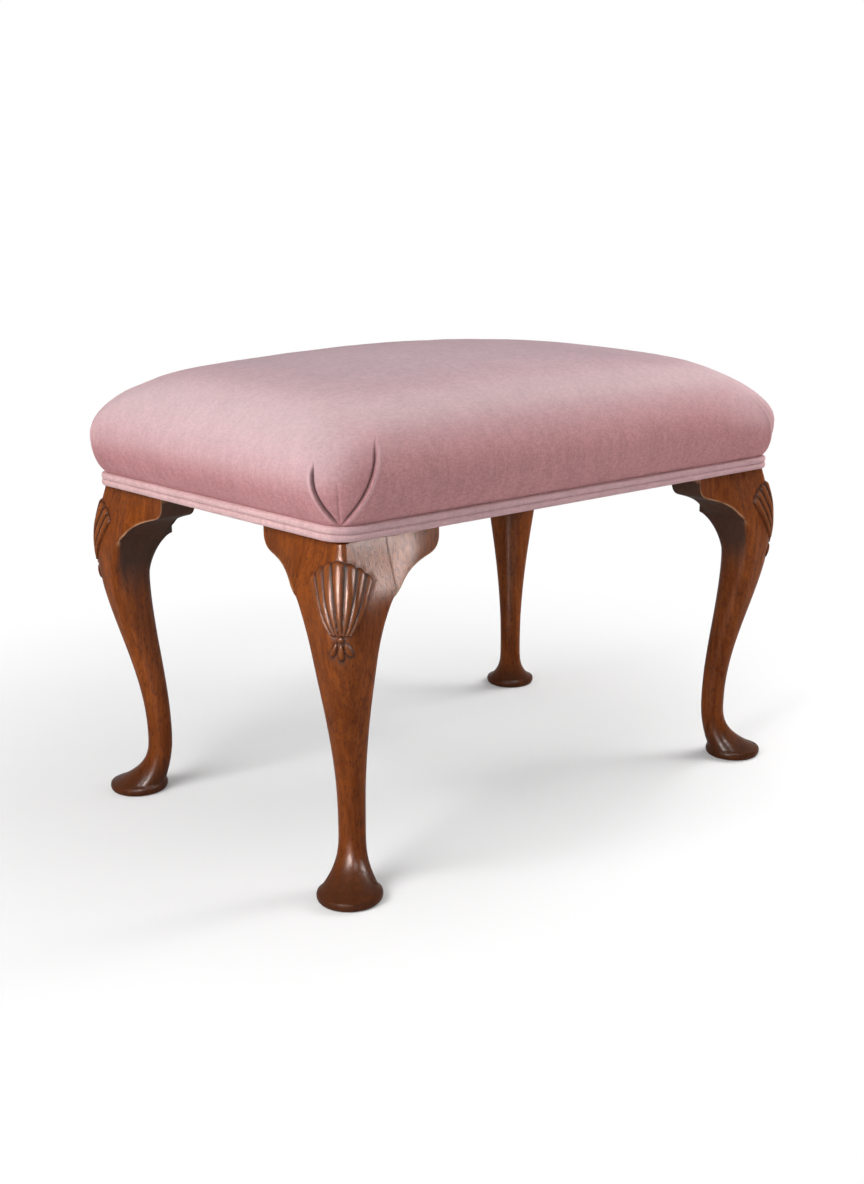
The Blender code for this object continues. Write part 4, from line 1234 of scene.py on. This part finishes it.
def swelling_of_cover():
    """How far the stuffing pushes the cover's face out, from a cloth simulation on a coarse copy.

    The copy is inflated for twenty frames with its lower edge held. The foam bears most of the
    pressure, so only a share of the movement is kept, and that is capped.
    """
    spokes = plain_spokes(CLOTH_ARC, (CLOTH_SIDE, CLOTH_SIDE))
    around = len(spokes) // 4
    start = [[seat_place(spoke, step, 0.0, False)[0] for step in CLOTH_STEPS] for spoke in spokes]
    bm = skin(len(spokes), len(CLOTH_STEPS), lambda column, row: (start[column][row], ()))
    face_outwards(bm)
    copy = in_scene("cover_copy", bare_mesh(bm, "cover_copy"))
    held = copy.vertex_groups.new(name="held")
    places = KDTree(len(copy.data.vertices))
    for vert in copy.data.vertices:
        places.insert(vert.co, vert.index)
        free = ease(TUCK_LEVEL + 0.004, TUCK_LEVEL + 0.03, vert.co.z)
        held.add([vert.index], 1.0 - free, "REPLACE")
    places.balance()
    cloth = copy.modifiers.new("cloth", "CLOTH")
    for key, value in CLOTH_SETTINGS.items():
        setattr(cloth.settings, key, value)
    cloth.settings.effector_weights.gravity = 0.0
    cloth.point_cache.frame_start = 1
    cloth.point_cache.frame_end = CLOTH_FRAMES
    scene = bpy.context.scene
    for number in range(1, CLOTH_FRAMES + 1):
        scene.frame_set(number)
    graph = bpy.context.evaluated_depsgraph_get()
    moved = [vert.co.copy() for vert in copy.evaluated_get(graph).data.vertices]
    scene.frame_set(1)
    bpy.data.objects.remove(copy)

    def shift(point):
        move = (moved[places.find(point)[1]] - point) * SWELL_SHARE
        return move * min(1.0, SWELL_CAP / max(move.length, 1e-9))

    shifts = [[shift(point) for point in ring] for ring in start]

    def swelling(spoke, turn, step):
        corner, _, zone, share = spoke
        if step <= 0.0:
            return Vector()
        part = 2 * CLOTH_ARC + share * CLOTH_SIDE if zone == 2 else (turn + 1.0) * CLOTH_ARC
        column = corner * around + part
        first = int(column)
        row = max(index for index, mark in enumerate(CLOTH_STEPS[:-1]) if mark <= step)
        down = (step - CLOTH_STEPS[row]) / (CLOTH_STEPS[row + 1] - CLOTH_STEPS[row])
        lines = [shifts[(first + offset) % len(shifts)] for offset in (0, 1)]
        near, far = (line[row].lerp(line[row + 1], down) for line in lines)
        return near.lerp(far, column - first)

    return swelling


def cover_rows():
    rows = [-1.0, -0.5, 0.0]
    for start, end, count in ((0.0, 1.0, 34), (1.0, 1.5, 26), (1.5, 2.0, 12), (2.0, 3.0, 22)):
        rows += [start + (end - start) * step / count for step in range(1, count + 1)]
    return rows


def pile_marks(point, step):
    """How much painted light the pile has on the roll, painted sheen and shade on top, painted
    light on the ends and upper edge, and the painted shadow across the top.

    The roll's paler painted light starts lower on the ends. The ends and the upper edge all round
    get more painted light.
    """
    end = end_share(point)
    lower = max(end, 0.8 * ease(*RIGHT_LOWER, point.x))
    # Painted light: the roll's paler tone, starting lower on the ends and on the right
    roll = ease(blend(ROLL_FROM, END_ROLL_FROM, lower), ROLL_FULL, step)
    # The top's greyer tone is painted sheen and shade
    top = ease(*TOP_SPAN, step)
    left = ease(*LEFT_LIT_PILE, -point.x) * (0.25 + 0.75 * end)
    right = 0.7 * ease(*RIGHT_LIT_PILE, point.x)
    middle, width, strength = EDGE_HIGHLIGHT
    edge = strength * bell(step - middle, width)
    # Painted light on the lit ends and a painted highlight along the upper edge
    lit_pile = max(max(left, right) * ease(*LIT_PILE_SPAN, step), edge)
    shadow = TOP_SHADE * ease(*TOP_SHADOW, point.x + point.y) * top
    return roll, top, lit_pile, shadow


def cover_mesh(surface, swelling):
    """The velvet's face from the middle of the seat down to its edge, then its back up again."""
    spokes = seat_spokes()
    rings = [(step, 0.0) for step in reversed(cover_rows())]
    rings += [(step, COVER_THICKNESS) for step in reversed(LINING_ROWS)]

    def place(column, row):
        step, depth = rings[row]
        point, (dark, lip) = seat_place(spokes[column], step, depth, True, swelling)
        if depth > 0.0:
            return point, (1.0, 0.0, 0.0, 0.0, 0.0)
        # The fold mark carries painted shade of folds and of the top; lip, roll, top and the lit
        # pile mark carry painted light, sheen and shade
        roll, top, lit_pile, shadow = pile_marks(point, step)
        return point, (dark + shadow, lip, roll, top, lit_pile)

    bm = skin(len(spokes), len(rings), place, ("fold", "lip", "roll", "top", "lit_pile"))
    return to_mesh(bm, "velvet_cover", surface, 75.0)


# Stuffing and platform, all hidden by the cover


def wadding_mesh(surface, swelling):
    """Wadding from the seat's middle down to the swell, then back along the rails and the foam."""
    spokes = seat_spokes()
    outer = [step for step in LINING_ROWS if step > 0.0]
    under = FOAM_BOTTOM - JOINT_GAP
    foam_edge = BULGE_CORNER - FOAM_DEPTH + JOINT_GAP
    ledges = (
        (WADDING_FIT, seat_profile(outer[-1], ROLL_POWER)[1], POST_EDGE + WADDING_FIT),
        (WADDING_FIT, under, POST_EDGE + WADDING_FIT),
        (BULGE_OUT - FOAM_DEPTH + JOINT_GAP, under, foam_edge),
    )

    def place(column, row):
        spoke = spokes[column]
        if row < len(outer):
            return seat_place(spoke, outer[row], WADDING_DEPTH, True, swelling)[0], ()
        row -= len(outer)
        if row < len(ledges):
            return ring_place(spoke, *ledges[row])[0], ()
        step = FOAM_ROWS[row - len(ledges)]
        return seat_place(spoke, step, FOAM_DEPTH - JOINT_GAP, False)[0], ()

    bm = skin(len(spokes), len(outer) + len(ledges) + len(FOAM_ROWS), place)
    return to_mesh(bm, "wadding_layer", surface, 60.0)


def foam_mesh(surface):
    spokes = seat_spokes()
    base = (BULGE_OUT - FOAM_DEPTH, FOAM_BOTTOM, BULGE_CORNER - FOAM_DEPTH)

    def place(column, row):
        if row < len(FOAM_ROWS):
            return seat_place(spokes[column], FOAM_ROWS[-1 - row], FOAM_DEPTH, False)[0], ()
        return ring_place(spokes[column], *base)[0], ()

    return to_mesh(skin(len(spokes), len(FOAM_ROWS) + 1, place), "foam_pad", surface, 50.0)


def hessian_mesh(surface):
    """The sheet that the foam lies on, tacked along the rails and a little puckered between."""
    half = (FRAME_LENGTH / 2 - HESSIAN_EDGE, FRAME_DEPTH / 2 - HESSIAN_EDGE)
    bm = bmesh.new()
    bmesh.ops.create_grid(bm, x_segments=HESSIAN_GRID[0], y_segments=HESSIAN_GRID[1], size=1.0)
    bmesh.ops.scale(bm, vec=(*half, 1.0), verts=bm.verts)
    for vert in bm.verts:
        vert.co.z = HESSIAN_BOTTOM + HESSIAN_PUCKER * (1.0 + noise.noise(vert.co * 40.0))
    face_outwards(bm)
    bmesh.ops.solidify(bm, geom=bm.faces[:], thickness=HESSIAN_CLOTH)
    return to_mesh(bm, "hessian_cloth", surface, 50.0)


def web_mesh(surface, length, crossings, first_over, lengthways, offset):
    """One strip of webbing from rail to rail, over and under the strips that cross it."""
    half = length / 2 - WEB_EDGE
    stations = [(-half, 0.0)]
    for index, crossing in enumerate(crossings):
        level = 2 * WEB_LIFT if (index % 2 == 0) == first_over else 0.0
        for side in (-1, 1):
            stations.append((crossing + side * (WEB_WIDTH + WEB_EDGE) / 2, level))
    stations.append((half, 0.0))
    across = (-1, -0.5, 0, 0.5, 1)
    section = [(side, -1) for side in across] + [(side, 1) for side in reversed(across)]
    rows = round(2 * half / WEB_PITCH)

    def lift(along):
        for (start, low), (end, high) in zip(stations, stations[1:]):
            if along <= end:
                return low + (high - low) * (along - start) / (end - start)
        return 0.0

    def place(column, row):
        along = -half + 2 * half * row / rows
        side, up = section[column]
        thinned = WEB_THINNED if abs(side) == 1 else 1.0
        height = WEB_LOW + lift(along) + up * thinned * WEB_THICKNESS / 2
        plan = (along, offset + side * WEB_WIDTH / 2)
        return Vector((*plan[::1 if lengthways else -1], height)), ()

    return to_mesh(skin(len(section), rows + 1, place), "webbing_strip", surface, 50.0)


# Welt


def welt_mesh(surface):
    """Two cords side by side in one strip, its ends lapped at the middle of the rear."""
    half_height = WELT_CORD_HEIGHT / 2
    groove = WELT_CORD_DEPTH * (1.0 - WELT_GROOVE)
    section = []
    for cord in (0, 1):
        middle = half_height + cord * WELT_CORD_HEIGHT
        for turn in range(-90, 91, 15):
            angle = math.radians(turn)
            away = groove + WELT_CORD_DEPTH * WELT_GROOVE * math.cos(angle)
            rise = middle + half_height * math.sin(angle)
            section.append((away, rise, middle, ease(45, -90, turn)))
    section.append((WELT_LEDGE, 2 * WELT_CORD_HEIGHT + WELT_SEAM, 0.0, 0.0))
    section.append((0.0, half_height * 0.6, 0.0, 1.0))
    spokes = plain_spokes(WELT_ARC, WELT_SIDES)

    def place(column, row):
        away, rise, middle, shade = section[row]
        corner, _, zone, share = spokes[column]
        outset = COVER_OUT + JOINT_GAP + away
        ring = ring_place(spokes[column], outset, COVER_BOTTOM + rise, POST_EDGE + outset)
        point, facing = ring[:2]
        if away > groove * 1.05:
            lump = WELT_LUMP * noise.noise(Vector((point.x * 55, point.y * 55, middle * 300)))
            lapped = zone == 2 and corner == 0 and abs(share - 0.5) < WELT_LAP_SHARE
            point += facing * (lump + (WELT_LAP if lapped else 0.0))
        # Painted shade: the fold mark under each cord, and the roll mark darker on the long sides
        # and corners than on the lit ends
        return point, (shade * WELT_SHADE, 1.0 - ease(0.55, 1.0, end_share(point)))

    bm = skin(len(spokes), len(section), place, ("fold", "roll"), wrap_rows=True)
    return to_mesh(bm, "welt", surface, 60.0)


# Underside


def in_notch(x, y):
    """True where a place under the seat belongs to a leg or knee block, not to the dust cover."""
    near, far = sorted((FRAME_LENGTH / 2 - abs(x), FRAME_DEPTH / 2 - abs(y)))
    return (near < NOTCH_BLOCK and far < NOTCH_EAR) or far < NOTCH_POST


def dust_mesh(surface):
    """Black cambric with its edge turned under, a little slack between the rails."""
    half = Vector((FRAME_LENGTH / 2 - DUST_EDGE, FRAME_DEPTH / 2 - DUST_EDGE, 0.0))
    bm = bmesh.new()
    bmesh.ops.create_grid(bm, x_segments=1, y_segments=1, size=1.0)
    bmesh.ops.scale(bm, vec=(half.x, half.y, 1.0), verts=bm.verts)
    insets = [line - DUST_EDGE for line in (NOTCH_BLOCK, NOTCH_POST, NOTCH_EAR)]
    for axis, size in enumerate(half.xy):
        count = round(size * 2 / DUST_PITCH)
        lines = [-size + 2 * size * step / count for step in range(1, count)]
        for inset in (*insets, *HEM_WIDTH):
            lines += [inset - size, size - inset]
        normal = Vector((axis == 0, axis == 1, 0.0))
        for line in lines:
            everything = bm.verts[:] + bm.edges[:] + bm.faces[:]
            bmesh.ops.bisect_plane(
                bm, geom=everything, plane_co=normal * line, plane_no=normal, dist=1e-6,
            )
    gone = [face for face in bm.faces if in_notch(*face.calc_center_median().xy)]
    bmesh.ops.delete(bm, geom=gone, context="FACES")
    face_outwards(bm)
    if bm.faces[:][0].normal.z > 0.0:
        bmesh.ops.reverse_faces(bm, faces=bm.faces)
    for vert in bm.verts:
        from_edge = [size - abs(at) for size, at in zip(half.xy, vert.co.xy)]
        slack = 1.0
        for inset in from_edge:
            slack *= ease(0.0, 1.0, (inset - DUST_SLACK_FROM) / DUST_SLACK_RUN)
        pucker = 0.5 + 0.5 * noise.noise(Vector((vert.co.x * 21, vert.co.y * 21, 0.4)))
        sag = DUST_SAG * slack * (0.6 + 0.4 * pucker)
        hem = HEM_DROP if min(from_edge) < sum(HEM_WIDTH) / 2 else 0.0
        vert.co.z = LEG_HEIGHT - JOINT_GAP - DUST_THICKNESS - sag - hem
    bmesh.ops.solidify(bm, geom=bm.faces[:], thickness=-DUST_CLOTH)
    return to_mesh(bm, "dust_cover_cloth", surface, 50.0)


def staple_mesh(surface):
    """One row of staples along each free edge of the dust cover, none quite straight."""
    under_hem = LEG_HEIGHT - JOINT_GAP - DUST_THICKNESS - DUST_CLOTH - HEM_DROP
    bm = bmesh.new()
    index = 0
    for half_run, half_reach, order in FRAME_SIDES:
        reach = half_reach - DUST_EDGE - STAPLE_INSET
        run = half_run - NOTCH_EAR - STAPLE_END
        count = round(2 * run / STAPLE_PITCH)
        for side in (-1, 1):
            for step in range(count + 1):
                index += 1
                turn = STAPLE_SKEW * math.sin(index * 12.9898) + (math.pi / 2 if order < 0 else 0.0)
                along = -run + 2 * run * step / count + STAPLE_STRAY[0] * math.sin(index * 4.1)
                aside = side * (reach + STAPLE_STRAY[1] * math.sin(index * 7.7))
                add_block(bm, STAPLE, (*(along, aside)[::order], under_hem), turn)
    ease_edges(bm, bm.edges[:], STAPLE_EDGE, 1)
    return to_mesh(bm, "dust_cover_staples", surface, 30.0)


def turned_under_mesh(surface):
    """The cover's edge turned under each rail between the knee blocks."""
    bm = bmesh.new()
    level = LEG_HEIGHT - TURN_GAP - TURN_THICKNESS / 2
    for half_run, half_reach, order in FRAME_SIDES:
        length = 2 * (half_run - POST_SIZE - EAR_REACH - TURN_CLEARANCE)
        outer = half_reach + COVER_OUT - TURN_GAP
        width = COVER_OUT + DUST_EDGE - TURN_OVERLAP
        for side in (-1, 1):
            size = (*(length, width)[::order], TURN_THICKNESS)
            place = (*(0.0, side * (outer - width / 2))[::order], level)
            add_block(bm, size, place)
    ease_edges(bm, bm.edges[:], TURN_EDGE, 2)
    return to_mesh(bm, "cover_turned_under", surface, 50.0)


# Setting up


def dress():
    figure, rub, nap, weave = wood_figure(), rubbed_edge(), pile_nap(), plain_weave()
    show_wood = polished_mahogany(figure, rub)
    rose = velvet("rose_velvet", ROSE, nap)
    leg = leg_mesh(show_wood)
    blocks = [block_mesh(show_wood, mirrored) for mirrored in (False, True)]
    for index, corner in enumerate(CORNERS):
        show(f"carved_leg_{corner}", into_corner(leg, index), "polished_mahogany", f"leg_{corner}")
        for mirrored in (0, 1):
            node = f"knee_block_{corner}_on_{RAILS[(index - mirrored) % 4]}"
            show(f"shaped_{node}", into_corner(blocks[mirrored], index), "polished_mahogany", node)
    swelling = swelling_of_cover()
    cover = show("velvet_cover", cover_mesh(rose, swelling), "rose_velvet", "seat_cover")
    welt = welt_mesh(velvet("welt_velvet", WELT_ROSE_LIT, nap))
    show("welt", welt, "welt_velvet", "double_welt")
    show("cover_turned_under", turned_under_mesh(rose), "rose_velvet")
    cambric = woven("black_cambric", CAMBRIC, weave, 900.0)
    dust = show("dust_cover_cloth", dust_mesh(cambric), "black_cambric", "dust_cover")
    steel = zinc_steel()
    show("dust_cover_staples", staple_mesh(steel), "zinc_steel")
    stuff_seat(weave, swelling)
    for name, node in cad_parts.items():
        if name.startswith(("seat_rail", "corner_brace")):
            surface = plain_wood(f"beech_{name}", figure, grain_turn(name))
        elif name.startswith("brace_screw"):
            surface = steel
        else:
            continue
        for slot in node.material_slots:
            slot.material = surface


def grain_turn(name):
    """The turn that lays the grain along a rail or a corner brace."""
    if name.startswith("seat_rail"):
        lengthways = name.endswith(("front", "rear"))
        return (0.0, math.pi / 2, 0.0) if lengthways else (math.pi / 2, 0.0, 0.0)
    slant = 45 if name.endswith(("front_left", "rear_right")) else -45
    return math.pi / 2, 0.0, math.radians(slant)


def stuff_seat(weave, swelling):
    """Webbing, hessian, foam and wadding under the cover."""
    foam = stuffing("foam", FOAM, 900.0)
    felt = stuffing("wadding", WADDING, 420.0)
    show("wadding_layer", wadding_mesh(felt, swelling), "wadding", "wadding")
    show("foam_pad", foam_mesh(foam), "foam", "seat_foam")
    sack = woven("hessian", HESSIAN, weave, 420.0)
    hessian = show("hessian_cloth", hessian_mesh(sack), "hessian", "hessian_sheet")
    jute = woven("jute", JUTE, weave, 520.0)

    def spread(size, count):
        clear = size - 2 * RAIL_THICKNESS
        return [clear * ((index + 0.5) / count - 0.5) for index in range(count)]

    across = spread(FRAME_DEPTH, WEB_LENGTHWAYS)
    along = spread(FRAME_LENGTH, WEB_CROSSWAYS)
    runs = (("lengthways", FRAME_LENGTH, across, along), ("crossways", FRAME_DEPTH, along, across))
    for odd, (way, length, offsets, crossings) in enumerate(runs):
        for index, offset in enumerate(offsets):
            mesh = web_mesh(jute, length, crossings, index % 2 == odd, odd == 0, offset)
            show(f"jute_strip_{way}_{index + 1}", mesh, "jute", f"webbing_{way}_{index + 1}")


def mirror_rays(nodes):
    """What kind of ray is looking, and whether it comes by way of a shiny surface."""
    rays = nodes.add("LightPath")
    return rays, nodes.math("MAXIMUM", rays["Is Glossy Ray"], rays["Is Transmission Ray"])


def set_floor():
    """A white floor that keeps the stool's shadow and is clear from below."""
    bm = bmesh.new()
    bmesh.ops.create_grid(bm, x_segments=1, y_segments=1, size=6.0)
    bmesh.ops.translate(bm, verts=bm.verts, vec=(0.0, 0.0, -FLOOR_GAP))
    floor = in_scene("studio_floor", bare_mesh(bm, "studio_floor"))
    paint = bpy.data.materials.new("studio_floor")
    paint.use_nodes = True
    floor.data.materials.append(paint)
    paint.node_tree.nodes.clear()
    nodes = Nodes(paint.node_tree)
    rays, mirrored = mirror_rays(nodes)
    grey = nodes.mix(mirrored, (0.86, 0.86, 0.86), (0.42, 0.42, 0.42))
    matt = nodes.add("BsdfDiffuse", {"Color": grey})[0]
    seen = nodes.math("MAXIMUM", rays["Is Camera Ray"], nodes.times(mirrored, 0.15))
    lift = nodes.add("Emission", {"Color": WHITE, "Strength": nodes.times(seen, 0.12)})[0]
    lit = nodes.add("AddShader", {0: matt, 1: lift})[0]
    white = nodes.add("Emission", {"Color": WHITE, "Strength": 1.0})[0]
    place = nodes.add("TexCoord")["Object"]
    away = nodes.add("VectorMath", {0: place}, operation="LENGTH")["Value"]
    far = nodes.times(nodes.ramp(away, *FLOOR_FADE), seen)
    both = nodes.add("MixShader", {0: far, 1: lit, 2: white})[0]
    clear = nodes.add("BsdfTransparent")[0]
    below = nodes.add("NewGeometry")["Backfacing"]
    from_below = nodes.times(below, rays["Is Camera Ray"])
    shown = nodes.add("MixShader", {0: from_below, 1: both, 2: clear})[0]
    nodes.add("OutputMaterial", {"Surface": shown})


def set_world():
    """White behind the stool, a dim light all round, and a bright backdrop in what is mirrored."""
    world = bpy.data.worlds.new("white_studio")
    world.use_nodes = True
    bpy.context.scene.world = world
    nodes = Nodes(world.node_tree)
    rays, mirrored = mirror_rays(nodes)
    look = nodes.add("TexCoord")["Generated"]
    ahead = nodes.add("VectorMath", {0: look, 1: BACKDROP}, operation="DOT_PRODUCT")["Value"]
    links = {0: mirrored, 2: AMBIENT, 3: nodes.ramp(ahead, -0.1, 0.6, 0.1, 0.45)}
    around = nodes.add("Mix", links, data_type="FLOAT")[0]
    back = world.node_tree.nodes["Background"].inputs
    nodes.feed(back["Color"], WHITE)
    nodes.feed(back["Strength"], nodes.math("MAXIMUM", rays["Is Camera Ray"], around))


def set_lights(table, lighting):
    """Area lights that either light the stool or show only as highlights on it."""
    for name, (place, aim, size, brightness) in table.items():
        light = bpy.data.lights.new(name, "AREA")
        light.shape = "RECTANGLE"
        light.size, light.size_y = size
        light.energy = brightness * math.pi * size[0] * size[1]
        lamp = in_scene(name, light)
        lamp.location = place
        lamp.rotation_euler = (Vector(aim) - Vector(place)).to_track_quat("-Z", "Y").to_euler()
        lamp.visible_diffuse = lighting
        lamp.visible_glossy = not lighting
        lamp.visible_camera = False


def set_camera():
    data = bpy.data.cameras.new("camera")
    data.sensor_fit = "VERTICAL"
    data.sensor_height = 36.0
    data.lens = FOCAL_LENGTH / PICTURE_HEIGHT * data.sensor_height
    data.shift_x = -OPTICAL_CENTRE[0] / PICTURE_HEIGHT
    data.shift_y = OPTICAL_CENTRE[1] / PICTURE_HEIGHT
    data.clip_start = 0.05
    camera = in_scene("camera", data)
    camera.location = CAMERA_PLACE
    camera.rotation_euler = (math.pi / 2 - CAMERA_PITCH, 0.0, -CAMERA_YAW)
    bpy.context.scene.camera = camera


set_camera()
dress()
set_floor()
set_world()
set_lights(SOFTBOXES, True)
set_lights(REFLECTORS, False)
bpy.context.scene.view_settings.view_transform = "Standard"
